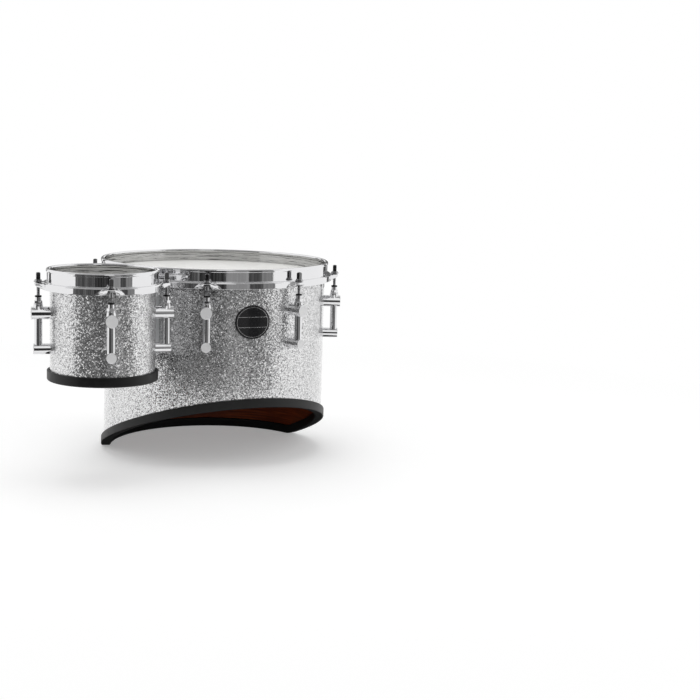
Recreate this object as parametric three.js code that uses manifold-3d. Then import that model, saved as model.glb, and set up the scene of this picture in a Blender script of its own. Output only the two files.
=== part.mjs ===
// Marching tenor drums: a large drum whose lower edge is cut on a slant, and a small drum
// bolted to its front left. Millimetres, +Z up, the front faces -Y. The origin is the middle of the
// large drum's playing surface. Angles go round from the front, positive towards +X.
import * as THREE from "three";
import { mergeVertices } from "three/addons/utils/BufferGeometryUtils.js";
import Module from "manifold-3d";

const wasm = await Module();
wasm.setup();

// Clearances
const seatGap = 0.3; // between pieces that touch
const runningGap = 0.5; // round bolts and rods in their holes
const cutOverrun = 4; // how far a cut runs past what it cuts

// Large drum
const largeRadius = 177.8; // outside of the covering, a 14 inch shell
const largeWall = 6.5;
const largeBackDepth = 292; // head to the trim's lower edge at the player's side
const largeFrontDepth = 195; // the same where the scoop opens
const scoopTilt = 22.2; // degrees between the slanted cut and the level
const scoopFace = 20.5; // degrees, the way the scoop opens
const largeLugs = 8;
const largeFirstLug = -3; // degrees
const largeSteps = 40;

// Small drum
const smallRadius = 76.2; // a 6 inch shell
const smallWall = 5.5;
const smallDepth = 143;
const smallLugs = 4;
const smallFirstLug = 11.6; // degrees
const smallSteps = 24;
const smallTurn = -32.4; // degrees round from the front to the small drum
const drumGap = 43.4; // between the coverings where the drums are nearest
const smallRise = 4.8; // small head above the large one

// Shell, covering and head
const wrapThickness = 0.8;
const wrapDrop = 3.5; // head down to the covering's upper edge
const bearingChamfer = 4; // inner slope of the bearing edge
const bearingRound = 2.4; // outer rounding of the bearing edge
const filmThickness = 0.4;
const filmBend = 1.7; // the film starts to bend this far inside the covering
const collarStandoff = 0.9; // covering to the film's collar
const collarHeight = 8;
const bendDrop = 2.4; // how far the film drops in its bend
const fleshHoopWidth = 6.3;
const fleshHoopHeight = 6.2;

// Counterhoop: a rolled lip, an upright band, a shoulder and a skirt, bent from one gauge of steel
const hoopGauge = 2.3;
const rimHeight = 19; // rim above the head
const bandStandoff = 1.9; // covering to the inside of the band
const lipReach = 1.1; // how far the lip stands out past the band
const lipHeight = 2.6;
const lipRound = 1;
const shoulderDrop = 0.5; // head down to the shoulder
const bendRound = 1.1;
const skirtHeight = 10.2;

// Ear of the counterhoop: the skirt folds out round each tension rod
const earTopWidth = 14;
const earTipWidth = 8;
const earFootWidth = 38.6;
const earTipReach = 5.2; // tip past the rod's axis

// Tube lug
const rodStandoff = 16.25; // covering to the rod's axis
const postDrop = 45.5; // head down to the upper post's axis
const postSpacing = 52;
const upperPostRadius = 9.25;
const upperPostLength = 26.5;
const lowerPostRadius = 7.75;
const lowerPostLength = 21.5;
const postChamfer = 1.2;
const tubeRadius = 6;
const bossRadius = 8.4; // at the upper post's axis
const bossTopRadius = 6.4;
const bossHeight = 13.2; // above the upper post's axis
const lugBoreDepth = 18; // below the upper post's axis
const postSteps = 10;
const tubeSteps = 10;

// Rod nut, standing on the lug's boss
const nutRadius = 6.3;
const nutHeight = 4.6;
const neckRadius = 4.4;
const neckHeight = 5.2;
const ringRadius = 4.9;
const ringHeight = 2.4;
const nutSteps = 8;

// Tension rod
const rodRadius = 2.45;
const rodReach = 10; // tip below the upper post's axis
const washerRadius = 6.4;
const washerThickness = 1.4;
const collarRadius = 5.2;
const collarThickness = 2;
const squareWidth = 6.4;
const squareHeight = 10.4;
const rodSteps = 8;

// Edge trim: a rubber channel
const trimHeight = 14.5;
const trimStandoff = 4.2; // covering to the trim's outside
const trimFloor = 4.3; // trim's lower edge to the floor of its slot
const trimRound = 1.4;
const trimInside = 3; // how far the trim stands in from the shell

// Badge
const badgeAngle = 19.5; // degrees
const badgeDrop = 62; // head down to the badge's middle
const badgeWidth = 56;
const badgeHeight = 52;
const badgeThickness = 1.4;
const badgeSteps = 20;

// Spacer between the drums and its bolts
const spacerWidth = 34;
const spacerWaist = 7; // how far each side draws in
const spacerTop = 26; // head down to the spacer's top
const spacerClearance = 13; // small drum's trim up to the spacer
const boltInset = 14; // spacer's ends to the bolts
const boltRadius = 3.9;
const boltHexRadius = 7.5;
const boltHexHeight = 5.5;
const boltWasherRadius = 9;
const boltWasherThickness = 1.6;
const boltTail = 3; // bolt end past its nut

// Carrier bracket on the player's side
const carrierAngle = 199.5; // degrees
const plateWidth = 88;
const plateHeight = 90;
const plateThickness = 3.5;
const plateTop = 70; // head down to the plate's top
const sleeveSpacing = 62;
const sleeveStandoff = 19;
const sleeveRadius = 12;
const sleeveBore = 8.3;
const sleeveHeight = 66;
const ribWidth = 12;
const bossLength = 9;
const tappedBossRadius = 8;
const bracketScrewInset = 18; // plate's ends to the screws
const screwRadius = 2.9;
const screwHeadRadius = 6;
const screwHeadHeight = 4;
const clampBossRadius = 6.5;
const clampBossLength = 4;
const clampHeadRadius = 6.5;
const clampHeadHeight = 5;
const clampStemLength = 3; // between the boss and the head
const fineSteps = 12;
const hexSides = 6;

// Places that follow from the sizes
const quarterTurn = Math.PI / 2;
const fullTurn = 2 * Math.PI;
const fleshHoopStandoff = collarStandoff + filmThickness + seatGap;
const fleshHoopOuter = fleshHoopStandoff + fleshHoopWidth;
const skirtStandoff = fleshHoopOuter + seatGap;
const shoulderUnder = -shoulderDrop - hoopGauge;
const skirtBottom = -shoulderDrop - skirtHeight;
const lugBoreRadius = rodRadius + runningGap + seatGap;
const pairSpan = largeRadius + drumGap + smallRadius;
const pairAngle = THREE.MathUtils.degToRad(smallTurn);
const spacerBottom = smallRise - smallDepth + trimHeight + spacerClearance;
const bracketMiddle = -plateTop - plateHeight / 2;
const badgeTurn = THREE.MathUtils.degToRad(badgeAngle);
const carrierTurn = THREE.MathUtils.degToRad(carrierAngle);

const chrome = finish(0xd4d6d8, 0.12, 1);
const steel = finish(0xb4b7ba, 0.32, 1);
const glitter = finish(0xb4b6b8, 0.35, 0.6);
const rubber = finish(0x1b1b1b, 0.7, 0);
const maple = finish(0x57220f, 0.5, 0);
const film = finish(0xebe9e2, 0.55, 0);
const alloy = finish(0xa3a6a9, 0.4, 1);
const blackPlate = finish(0x101012, 0.3, 0.2);

const large = {
  name: "large",
  radius: largeRadius,
  wall: largeWall,
  backDepth: largeBackDepth,
  frontDepth: largeFrontDepth,
  tilt: THREE.MathUtils.degToRad(scoopTilt),
  lugs: largeLugs,
  firstLug: THREE.MathUtils.degToRad(largeFirstLug),
  steps: largeSteps,
};
const small = {
  name: "small",
  radius: smallRadius,
  wall: smallWall,
  backDepth: smallDepth,
  frontDepth: smallDepth,
  tilt: 0,
  lugs: smallLugs,
  firstLug: THREE.MathUtils.degToRad(smallFirstLug),
  steps: smallSteps,
};

function finish(color, roughness, metalness) {
  return new THREE.MeshStandardMaterial({ color, roughness, metalness });
}

// Solids from closed surfaces

// Merges shared corners, drops the flat triangles at a pole and turns the faces outward.
function solid(geometry) {
  const bare = new THREE.BufferGeometry();
  bare.setAttribute("position", geometry.getAttribute("position"));
  bare.setIndex(geometry.getIndex());
  const merged = mergeVertices(bare);
  const corners = merged.getAttribute("position");
  const index = merged.getIndex().array;
  const a = new THREE.Vector3();
  const b = new THREE.Vector3();
  const c = new THREE.Vector3();
  const kept = [];
  let volume = 0;
  for (let i = 0; i < index.length; i += 3) {
    const [p, q, r] = index.subarray(i, i + 3);
    if (p === q || q === r || r === p) continue;
    kept.push([p, q, r]);
    a.fromBufferAttribute(corners, p);
    b.fromBufferAttribute(corners, q);
    c.fromBufferAttribute(corners, r);
    volume += a.dot(b.cross(c));
  }
  const faces = kept.map(([p, q, r]) => (volume < 0 ? [p, r, q] : [p, q, r]));
  const mesh = new wasm.Mesh({
    numProp: 3,
    vertProperties: corners.array,
    triVerts: Uint32Array.from(faces.flat()),
  });
  return new wasm.Manifold(mesh);
}

function joined(solids) {
  return solids.reduce((whole, piece) => whole.add(piece));
}

function cut(whole, cutters) {
  return cutters.reduce((rest, cutter) => rest.subtract(cutter), whole);
}

// The named mesh of a solid, with flat faces.
function piece(name, body, material) {
  const mesh = body.getMesh();
  const geometry = new THREE.BufferGeometry();
  geometry.setAttribute("position", new THREE.Float32BufferAttribute(mesh.vertProperties, 3));
  geometry.setIndex(new THREE.Uint32BufferAttribute(mesh.triVerts, 1));
  const faceted = geometry.toNonIndexed();
  faceted.computeVertexNormals();
  const made = new THREE.Mesh(faceted, material);
  made.name = name;
  return made;
}

// Turns corners [radius, height] round Z. Its first corner line lies at the start angle.
function turned(corners, steps, start = 0) {
  const points = corners.map(([radius, height]) => new THREE.Vector2(radius, height));
  return new THREE.LatheGeometry(points, steps).rotateX(quarterTurn).rotateZ(start);
}

// The same round a hollow, whose outline closes on itself.
function turnedRing(corners, steps, start = 0) {
  return turned([...corners, corners[0]], steps, start);
}

function rod(radius, low, high, steps) {
  return turned([[0, low], [radius, low], [radius, high], [0, high]], steps);
}

function alongX(geometry) {
  return geometry.rotateY(quarterTurn);
}

function box(lowX, highX, width, lowZ, highZ) {
  const shape = new THREE.BoxGeometry(highX - lowX, width, highZ - lowZ);
  return shape.translate((lowX + highX) / 2, 0, (lowZ + highZ) / 2);
}

// Skins a row of sections with as many corners each, closed into a ring or capped at both ends.
function lofted(sections, isRing) {
  const size = sections[0].length;
  const rows = isRing ? sections.length : sections.length - 1;
  const faces = [];
  for (let row = 0; row < rows; row++) {
    const next = (row + 1) % sections.length;
    for (let side = 0; side < size; side++) {
      const turn = (side + 1) % size;
      const here = row * size;
      const there = next * size;
      faces.push(here + side, here + turn, there + turn, here + side, there + turn, there + side);
    }
  }
  const last = rows * size;
  for (let side = 1; side < size - 1 && !isRing; side++) {
    faces.push(0, side + 1, side, last, last + side, last + side + 1);
  }
  const geometry = new THREE.BufferGeometry();
  geometry.setAttribute("position", new THREE.Float32BufferAttribute(sections.flat(2), 3));
  geometry.setIndex(faces);
  return geometry;
}

// A ring whose section [radius, height] may change with the angle from the front.
function ringAlong(cornersAt, drum) {
  const sections = Array.from({ length: drum.steps }, (_, step) => {
    const angle = drum.firstLug + (step * fullTurn) / drum.steps;
    return cornersAt(angle).map(([radius, height]) => [
      radius * Math.sin(angle),
      -radius * Math.cos(angle),
      height,
    ]);
  });
  return lofted(sections, true);
}

// A group at an angle from the front, in which +X points straight out of the drum.
function station(angle) {
  const group = new THREE.Group();
  group.rotation.z = angle - quarterTurn;
  return group;
}

// A disc as wide as the drum plus a standoff, in the frame of the station at an angle, with its
// facets on the drum's own.
function discAtStation(drum, angle, standoff, low, high) {
  const start = drum.firstLug - angle + quarterTurn;
  const radius = drum.radius + standoff;
  return solid(turned([[0, low], [radius, low], [radius, high], [0, high]], drum.steps, start));
}

// Drum walls

function shellOuter(drum) {
  return drum.radius - wrapThickness - seatGap;
}

function shellInner(drum) {
  return shellOuter(drum) - drum.wall;
}

// How far from the axis a flat washer or head of this radius rests on the inside of the wall.
function insideSeat(drum, radius) {
  const facet = shellInner(drum) * Math.cos(Math.PI / drum.steps);
  return Math.sqrt(facet ** 2 - radius ** 2) - seatGap;
}

// Height of the trim's lower edge: a slanted cut that ends in a level one at the player's side.
function edgeHeight(drum, angle) {
  const fall = drum.radius * Math.tan(drum.tilt);
  const turnFromScoop = angle - THREE.MathUtils.degToRad(scoopFace);
  const slanted = -drum.frontDepth - fall * (1 - Math.cos(turnFromScoop));
  return Math.max(slanted, -drum.backDepth);
}

function shell(drum, cutters) {
  const crown = -filmThickness - seatGap;
  const outer = shellOuter(drum);
  const inner = shellInner(drum);
  const wall = ringAlong((angle) => {
    const foot = edgeHeight(drum, angle) + trimFloor + seatGap;
    return [
      [outer, foot],
      [outer, crown - bearingRound],
      [outer - bearingRound, crown],
      [inner + drum.wall - bearingChamfer, crown],
      [inner, crown - bearingChamfer],
      [inner, foot],
    ];
  }, drum);
  return piece(drum.name + "_shell", cut(solid(wall), cutters), maple);
}

function covering(drum, cutters) {
  const inner = drum.radius - wrapThickness;
  const sheet = ringAlong((angle) => {
    const foot = edgeHeight(drum, angle) + trimFloor + seatGap;
    return [
      [drum.radius, foot],
      [drum.radius, -wrapDrop],
      [inner, -wrapDrop],
      [inner, foot],
    ];
  }, drum);
  return piece(drum.name + "_glitter_wrap", cut(solid(sheet), cutters), glitter);
}

function edgeTrim(drum) {
  const outer = drum.radius + trimStandoff;
  const slotOuter = drum.radius + seatGap;
  const slotInner = shellInner(drum) - seatGap;
  const inner = shellInner(drum) - trimInside;
  const channel = ringAlong((angle) => {
    const foot = edgeHeight(drum, angle);
    const floor = foot + trimFloor;
    const top = foot + trimHeight;
    return [
      [outer - trimRound, foot],
      [outer, foot + trimRound],
      [outer, top],
      [slotOuter, top],
      [slotOuter, floor],
      [slotInner, floor],
      [slotInner, top],
      [inner, top],
      [inner, foot],
    ];
  }, drum);
  return piece(drum.name + "_edge_trim", solid(channel), rubber);
}

// Head and hoops

function batterHead(drum) {
  const collarInner = drum.radius + collarStandoff;
  const collarOuter = collarInner + filmThickness;
  const bend = drum.radius - filmBend;
  const skin = turned([
    [0, 0],
    [bend, 0],
    [collarOuter, -bendDrop],
    [collarOuter, -collarHeight],
    [collarInner, -collarHeight],
    [collarInner, -bendDrop - filmThickness / 2],
    [bend - filmThickness / 2, -filmThickness],
    [0, -filmThickness],
  ], drum.steps, drum.firstLug);
  return piece(drum.name + "_batter_head", solid(skin), film);
}

function fleshHoop(drum) {
  const inner = drum.radius + fleshHoopStandoff;
  const outer = drum.radius + fleshHoopOuter;
  const top = shoulderUnder - seatGap;
  const ring = turnedRing([
    [inner, top - fleshHoopHeight],
    [outer, top - fleshHoopHeight],
    [outer, top],
    [inner, top],
  ], drum.steps, drum.firstLug);
  return piece(drum.name + "_flesh_hoop", solid(ring), alloy);
}

// The fold of an ear, from under the shoulder to its tip: wide at its foot, narrow and flat at the tip.
function earFold(drum, inset, top, foot) {
  const slope = (earFootWidth - earTopWidth) / 2 / skirtHeight;
  const section = (across, width, lowest) => {
    const half = width / 2 - inset;
    const spread = half + slope * (top - lowest);
    return [[across, -half, top], [across, half, top], [across, spread, lowest], [across, -spread, lowest]];
  };
  const axis = drum.radius + rodStandoff;
  const underTop = top - hoopGauge;
  return lofted([
    section(drum.radius + bandStandoff + hoopGauge / 2, earTopWidth, foot),
    section(drum.radius + skirtStandoff + hoopGauge, earTopWidth, foot),
    section(axis, earTopWidth, underTop),
    section(axis + earTipReach, earTipWidth, underTop),
  ], false);
}

function counterhoop(drum) {
  const bandInner = drum.radius + bandStandoff;
  const bandOuter = bandInner + hoopGauge;
  const lipOuter = bandOuter + lipReach;
  const skirtInner = drum.radius + skirtStandoff;
  const skirtOuter = skirtInner + hoopGauge;
  const ring = turnedRing([
    [bandInner, shoulderUnder],
    [bandInner, rimHeight - lipRound],
    [bandInner + lipRound, rimHeight],
    [lipOuter - lipRound, rimHeight],
    [lipOuter, rimHeight - lipRound],
    [lipOuter, rimHeight - lipHeight],
    [bandOuter, rimHeight - lipHeight],
    [bandOuter, -shoulderDrop],
    [skirtOuter - bendRound, -shoulderDrop],
    [skirtOuter, -shoulderDrop - bendRound],
    [skirtOuter, skirtBottom],
    [skirtInner, skirtBottom],
    [skirtInner, shoulderUnder],
  ], drum.steps, drum.firstLug);
  const inside = turned([
    [0, skirtBottom - cutOverrun],
    [skirtInner, skirtBottom - cutOverrun],
    [skirtInner, shoulderUnder],
    [0, shoulderUnder],
  ], drum.steps, drum.firstLug);
  const folds = [];
  const hollows = [solid(inside)];
  for (const angle of lugAngles(drum)) {
    const turn = angle - quarterTurn;
    const fold = earFold(drum, 0, -shoulderDrop, skirtBottom);
    const hollow = earFold(drum, hoopGauge / 2, shoulderUnder, skirtBottom - cutOverrun);
    const hole = rod(rodRadius + runningGap, shoulderUnder - cutOverrun, cutOverrun, rodSteps);
    folds.push(solid(fold.rotateZ(turn)));
    hollows.push(solid(hollow.rotateZ(turn)));
    hollows.push(solid(hole.translate(drum.radius + rodStandoff, 0, 0).rotateZ(turn)));
  }
  return piece(drum.name + "_hoop", cut(joined([solid(ring), ...folds]), hollows), chrome);
}

// Lugs, nuts and rods

function lugAngles(drum) {
  return Array.from({ length: drum.lugs }, (_, lug) => drum.firstLug + (lug * fullTurn) / drum.lugs);
}

function lug(drum, number) {
  const axis = drum.radius + rodStandoff;
  const base = drum.radius + seatGap;
  const post = (radius, length, height) => {
    const end = drum.radius + length;
    const shoulder = [radius, end - postChamfer];
    const outline = [[0, base], [radius, base], shoulder, [radius - postChamfer, end], [0, end]];
    return solid(alongX(turned(outline, postSteps)).translate(0, 0, height));
  };
  const lowerPost = -postDrop - postSpacing;
  const tube = rod(tubeRadius, lowerPost, -postDrop, tubeSteps).translate(axis, 0, 0);
  const bossTop = -postDrop + bossHeight;
  const boss = turned([
    [0, -postDrop],
    [bossRadius, -postDrop],
    [bossTopRadius, bossTop],
    [0, bossTop],
  ], tubeSteps).translate(axis, 0, 0);
  const bore = rod(lugBoreRadius, -postDrop - lugBoreDepth, bossTop + cutOverrun, rodSteps);
  const body = joined([
    post(upperPostRadius, upperPostLength, -postDrop),
    post(lowerPostRadius, lowerPostLength, lowerPost),
    solid(tube),
    solid(boss),
  ]);
  const bored = cut(body, [solid(bore.translate(axis, 0, 0))]);
  return piece(drum.name + "_lug_" + number, bored, chrome);
}

function rodNut(drum, number) {
  const seat = -postDrop + bossHeight + seatGap;
  const neck = seat + nutHeight;
  const ring = neck + neckHeight;
  const bore = rodRadius + runningGap;
  const body = turnedRing([
    [bore, seat],
    [nutRadius, seat],
    [nutRadius, neck],
    [neckRadius, neck],
    [neckRadius, ring],
    [ringRadius, ring],
    [ringRadius, ring + ringHeight],
    [bore, ring + ringHeight],
  ], nutSteps).translate(drum.radius + rodStandoff, 0, 0);
  return piece(drum.name + "_nut_" + number, solid(body), chrome);
}

function tensionRod(drum, number) {
  const seat = -shoulderDrop + seatGap;
  const collar = seat + washerThickness;
  const square = collar + collarThickness;
  const stem = turned([
    [0, -postDrop - rodReach],
    [rodRadius, -postDrop - rodReach],
    [rodRadius, seat],
    [washerRadius, seat],
    [washerRadius, collar],
    [collarRadius, collar],
    [collarRadius, square],
    [0, square],
  ], rodSteps);
  const key = box(-squareWidth / 2, squareWidth / 2, squareWidth, collar, square + squareHeight);
  const body = joined([solid(stem), solid(key)]);
  const made = piece(drum.name + "_rod_" + number, body, steel);
  made.position.x = drum.radius + rodStandoff;
  return made;
}

function badge(drum) {
  const face = seatGap + badgeThickness;
  const oval = rod(1, 0, drum.radius + face + cutOverrun, badgeSteps);
  oval.scale(badgeHeight / 2, badgeWidth / 2, 1);
  const shape = solid(alongX(oval).translate(0, 0, -badgeDrop));
  const low = -badgeDrop - badgeHeight;
  const high = -badgeDrop + badgeHeight;
  const front = discAtStation(drum, badgeTurn, face, low, high);
  const back = discAtStation(drum, badgeTurn, seatGap, low - cutOverrun, high + cutOverrun);
  return piece(drum.name + "_badge", front.intersect(shape).subtract(back), blackPlate);
}

// One whole drum. holes are the cuts through its shell and covering, in the drum's own frame.
function drumGroup(drum, holes) {
  const group = new THREE.Group();
  group.add(shell(drum, holes), covering(drum, holes), edgeTrim(drum));
  group.add(batterHead(drum), fleshHoop(drum), counterhoop(drum));
  lugAngles(drum).forEach((angle, place) => {
    const spot = station(angle);
    spot.add(lug(drum, place + 1), rodNut(drum, place + 1), tensionRod(drum, place + 1));
    group.add(spot);
  });
  return group;
}

// Hardware between the drums

const boltHeights = [
  ["upper", -spacerTop - boltInset],
  ["lower", spacerBottom + boltInset],
];
const bracketScrewHeights = [
  ["upper", -plateTop - bracketScrewInset],
  ["lower", -plateTop - plateHeight + bracketScrewInset],
];

// Round pieces along X at a height, each given as [radius, from, to, steps].
function barsAlongX(bars, offset, height) {
  return bars.map(([radius, from, to, steps]) =>
    solid(alongX(rod(radius, from, to, steps)).translate(0, offset, height)),
  );
}

// Cutters along the radius at an angle and some heights, from inside the wall to outside the covering.
function wallHoles(drum, angle, heights, radius, rise) {
  return heights.map(([, height]) => {
    const start = shellInner(drum) - cutOverrun;
    const hole = alongX(rod(radius + runningGap, start, drum.radius + cutOverrun, rodSteps));
    return solid(hole.translate(0, 0, height - rise).rotateZ(angle - quarterTurn));
  });
}

function shellSpacer() {
  const half = spacerWidth / 2;
  const start = large.radius - cutOverrun;
  const end = pairSpan - small.radius + cutOverrun;
  const middle = (large.radius + pairSpan - small.radius) / 2;
  const outline = new THREE.Shape();
  outline.moveTo(start, -half);
  outline.quadraticCurveTo(middle, -half + 2 * spacerWaist, end, -half);
  outline.lineTo(end, half);
  outline.quadraticCurveTo(middle, half - 2 * spacerWaist, start, half);
  const options = { depth: -spacerTop - spacerBottom, bevelEnabled: false, curveSegments: 6 };
  const block = new THREE.ExtrudeGeometry(outline, options).translate(0, 0, spacerBottom);
  const [largeSaddle, smallSaddle] = [large, small].map((drum) =>
    discAtStation(drum, pairAngle, seatGap, spacerBottom - cutOverrun, cutOverrun - spacerTop),
  );
  const bores = boltHeights.flatMap(([, height]) =>
    barsAlongX([[boltRadius + runningGap, start, end, rodSteps]], 0, height),
  );
  const saddles = [largeSaddle, smallSaddle.translate([pairSpan, 0, 0])];
  return piece("shell_spacer", cut(solid(block), [...saddles, ...bores]), alloy);
}

function spacerBolt(place, height) {
  const nutSeat = insideSeat(large, boltWasherRadius) - boltWasherThickness;
  const head = pairSpan - insideSeat(small, boltWasherRadius);
  const hex = head + boltWasherThickness;
  const bars = barsAlongX([
    [boltRadius, nutSeat - boltHexHeight - boltTail, hex, rodSteps],
    [boltWasherRadius, head, hex, fineSteps],
    [boltHexRadius, head, hex + boltHexHeight, hexSides],
  ], 0, height);
  return piece("spacer_bolt_" + place, joined(bars), steel);
}

function spacerNut(place, height) {
  const seat = insideSeat(large, boltWasherRadius);
  const washer = seat - boltWasherThickness;
  const end = washer - boltHexHeight;
  const [hex, disc, bore] = barsAlongX([
    [boltHexRadius, end, seat, hexSides],
    [boltWasherRadius, washer, seat, fineSteps],
    [boltRadius + runningGap, end - cutOverrun, seat + cutOverrun, rodSteps],
  ], 0, height);
  return piece("spacer_nut_" + place, cut(hex.add(disc), [bore]), steel);
}

// Carrier bracket, its screws and the clamp screws of its two sleeves

function carrierBracket() {
  const low = -plateTop - plateHeight;
  const across = large.radius + sleeveStandoff;
  const sleeveLow = bracketMiddle - sleeveHeight / 2;
  const sleeveHigh = bracketMiddle + sleeveHeight / 2;
  const face = large.radius + seatGap + plateThickness;
  const wide = solid(box(0, across, plateWidth, low, -plateTop));
  const plate = discAtStation(large, carrierTurn, seatGap + plateThickness, low, -plateTop);
  const parts = [plate.intersect(wide)];
  const cuts = [discAtStation(large, carrierTurn, seatGap, low - cutOverrun, cutOverrun - plateTop)];
  for (const side of [-1, 1]) {
    const offset = (side * sleeveSpacing) / 2;
    const sleeve = rod(sleeveRadius, sleeveLow, sleeveHigh, fineSteps).translate(across, offset, 0);
    const bore = rod(sleeveBore, sleeveLow - cutOverrun, sleeveHigh + cutOverrun, fineSteps);
    const rib = box(face - 2 * plateThickness, across, ribWidth, sleeveLow, sleeveHigh);
    const clamp = [
      [clampBossRadius, across, across + sleeveRadius + clampBossLength, fineSteps],
      [screwRadius + runningGap, across, across + 2 * sleeveRadius, rodSteps],
    ];
    const [boss, hole] = barsAlongX(clamp, offset, bracketMiddle);
    parts.push(solid(sleeve), solid(rib.translate(0, offset, 0)), boss);
    cuts.push(solid(bore.translate(across, offset, 0)), hole);
  }
  for (const [, height] of bracketScrewHeights) {
    const [boss, hole] = barsAlongX([
      [tappedBossRadius, large.radius, face + bossLength, fineSteps],
      [screwRadius + runningGap, large.radius - cutOverrun, face + bossLength + cutOverrun, rodSteps],
    ], 0, height);
    parts.push(boss);
    cuts.push(hole);
  }
  return piece("carrier_bracket", cut(joined(parts), cuts), alloy);
}

function bracketScrew(place, height) {
  const seat = insideSeat(large, screwHeadRadius);
  const bars = barsAlongX([
    [screwRadius, seat - screwHeadHeight, large.radius + plateThickness + bossLength, rodSteps],
    [screwHeadRadius, seat - screwHeadHeight, seat, fineSteps],
  ], 0, height);
  return piece("bracket_screw_" + place, joined(bars), steel);
}

function receiverScrew(place, side) {
  const across = large.radius + sleeveStandoff;
  const head = across + sleeveRadius + clampBossLength + clampStemLength;
  const bars = barsAlongX([
    [screwRadius, across + sleeveBore, head, rodSteps],
    [clampHeadRadius, head, head + clampHeadHeight, hexSides],
  ], (side * sleeveSpacing) / 2, bracketMiddle);
  return piece("receiver_screw_" + place, joined(bars), steel);
}

// The whole pair

const pair = new THREE.Group();
pair.add(drumGroup(large, [
  ...wallHoles(large, pairAngle, boltHeights, boltRadius, 0),
  ...wallHoles(large, carrierTurn, bracketScrewHeights, screwRadius, 0),
]));
const smallHoles = wallHoles(small, pairAngle + Math.PI, boltHeights, boltRadius, smallRise);
const smallGroup = drumGroup(small, smallHoles);
smallGroup.position.set(pairSpan * Math.sin(pairAngle), -pairSpan * Math.cos(pairAngle), smallRise);
pair.add(smallGroup);

const badgeSpot = station(badgeTurn);
badgeSpot.add(badge(large));
pair.add(badgeSpot);

const joint = station(pairAngle);
joint.add(shellSpacer());
boltHeights.forEach(([place, height]) => joint.add(spacerBolt(place, height), spacerNut(place, height)));
pair.add(joint);

const carrier = station(carrierTurn);
carrier.add(carrierBracket());
bracketScrewHeights.forEach(([place, height]) => carrier.add(bracketScrew(place, height)));
carrier.add(receiverScrew("left", -1), receiverScrew("right", 1));
pair.add(carrier);

export default pair;
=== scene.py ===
"""Marching tenor drums: a small drum bolted ahead of a large scooped drum.

Sizes are in millimetres in each drum's own frame: +Z up out of the head, the origin at the middle
of the head's upper face, angles in degrees round from the front (-Y) towards +X. A finished piece
is brought to metres and to its place in its mesh, so its object stays at the origin.
"""

import logging
import math
from dataclasses import dataclass
from enum import Enum
from functools import cached_property, reduce
from typing import Callable, Iterable, Sequence

import bmesh
import bpy
from bmesh.types import BMEdge, BMesh, BMVert
from mathutils import Matrix, Vector

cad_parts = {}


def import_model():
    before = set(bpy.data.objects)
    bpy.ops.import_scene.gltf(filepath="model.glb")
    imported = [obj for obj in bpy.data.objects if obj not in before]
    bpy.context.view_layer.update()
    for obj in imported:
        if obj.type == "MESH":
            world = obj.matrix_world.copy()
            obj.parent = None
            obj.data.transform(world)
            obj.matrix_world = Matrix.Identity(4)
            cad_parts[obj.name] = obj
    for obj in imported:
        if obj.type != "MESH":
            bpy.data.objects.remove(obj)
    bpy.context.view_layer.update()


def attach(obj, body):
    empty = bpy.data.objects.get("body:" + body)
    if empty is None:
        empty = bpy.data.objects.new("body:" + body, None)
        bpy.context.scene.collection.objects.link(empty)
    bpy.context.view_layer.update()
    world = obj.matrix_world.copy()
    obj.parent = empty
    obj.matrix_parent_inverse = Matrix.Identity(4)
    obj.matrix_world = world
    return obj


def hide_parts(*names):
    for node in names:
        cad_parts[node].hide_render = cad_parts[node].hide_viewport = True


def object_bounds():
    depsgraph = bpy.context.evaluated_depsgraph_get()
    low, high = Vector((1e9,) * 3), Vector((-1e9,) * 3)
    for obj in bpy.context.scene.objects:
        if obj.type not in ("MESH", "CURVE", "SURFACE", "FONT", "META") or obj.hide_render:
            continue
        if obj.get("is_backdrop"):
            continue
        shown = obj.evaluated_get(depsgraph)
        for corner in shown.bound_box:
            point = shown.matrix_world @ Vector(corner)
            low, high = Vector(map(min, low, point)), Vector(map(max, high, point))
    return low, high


LOG = logging.getLogger("drums")

Corner = tuple[float, float, float]
Color = tuple[float, float, float]
Geometry = Sequence[BMVert | BMEdge]
Socket = bpy.types.NodeSocket

MM = 0.001
TAU = 2 * math.pi
QUARTER = math.pi / 2
FOOT = -1000.0  # outline height of the corners that follow a drum's lower edge
MERGE = 1e-4
SEAM = 5e-3
FIT = 0.05  # play between two surfaces that would otherwise coincide
PAST = 5.0  # how far a cutter reaches past the solid
WIDE_ROUNDING = 0.7  # from here a rounding gets four facets, below it two
BEND_CUTS = 24
CREASE = 34.0
BASE = "drums"  # the body that everything fixed rides on


class Slot(Enum):
    """Material slots of the record."""

    CHROME = "chrome_plate"
    STEEL = "satin_steel"
    GLITTER = "glitter_covering"
    MAPLE = "maple_ply"
    RUBBER = "black_rubber"
    FILM = "head_film"
    HOOP_ALLOY = "hoop_aluminium"
    SATIN_ALLOY = "satin_aluminium"
    PLATE = "black_plate"


class Cut(Enum):
    """How one solid is combined with another."""

    JOIN = "UNION"
    TAKE_AWAY = "DIFFERENCE"
    KEEP_COMMON = "INTERSECT"


# ---- Node graphs and finishes ----


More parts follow.
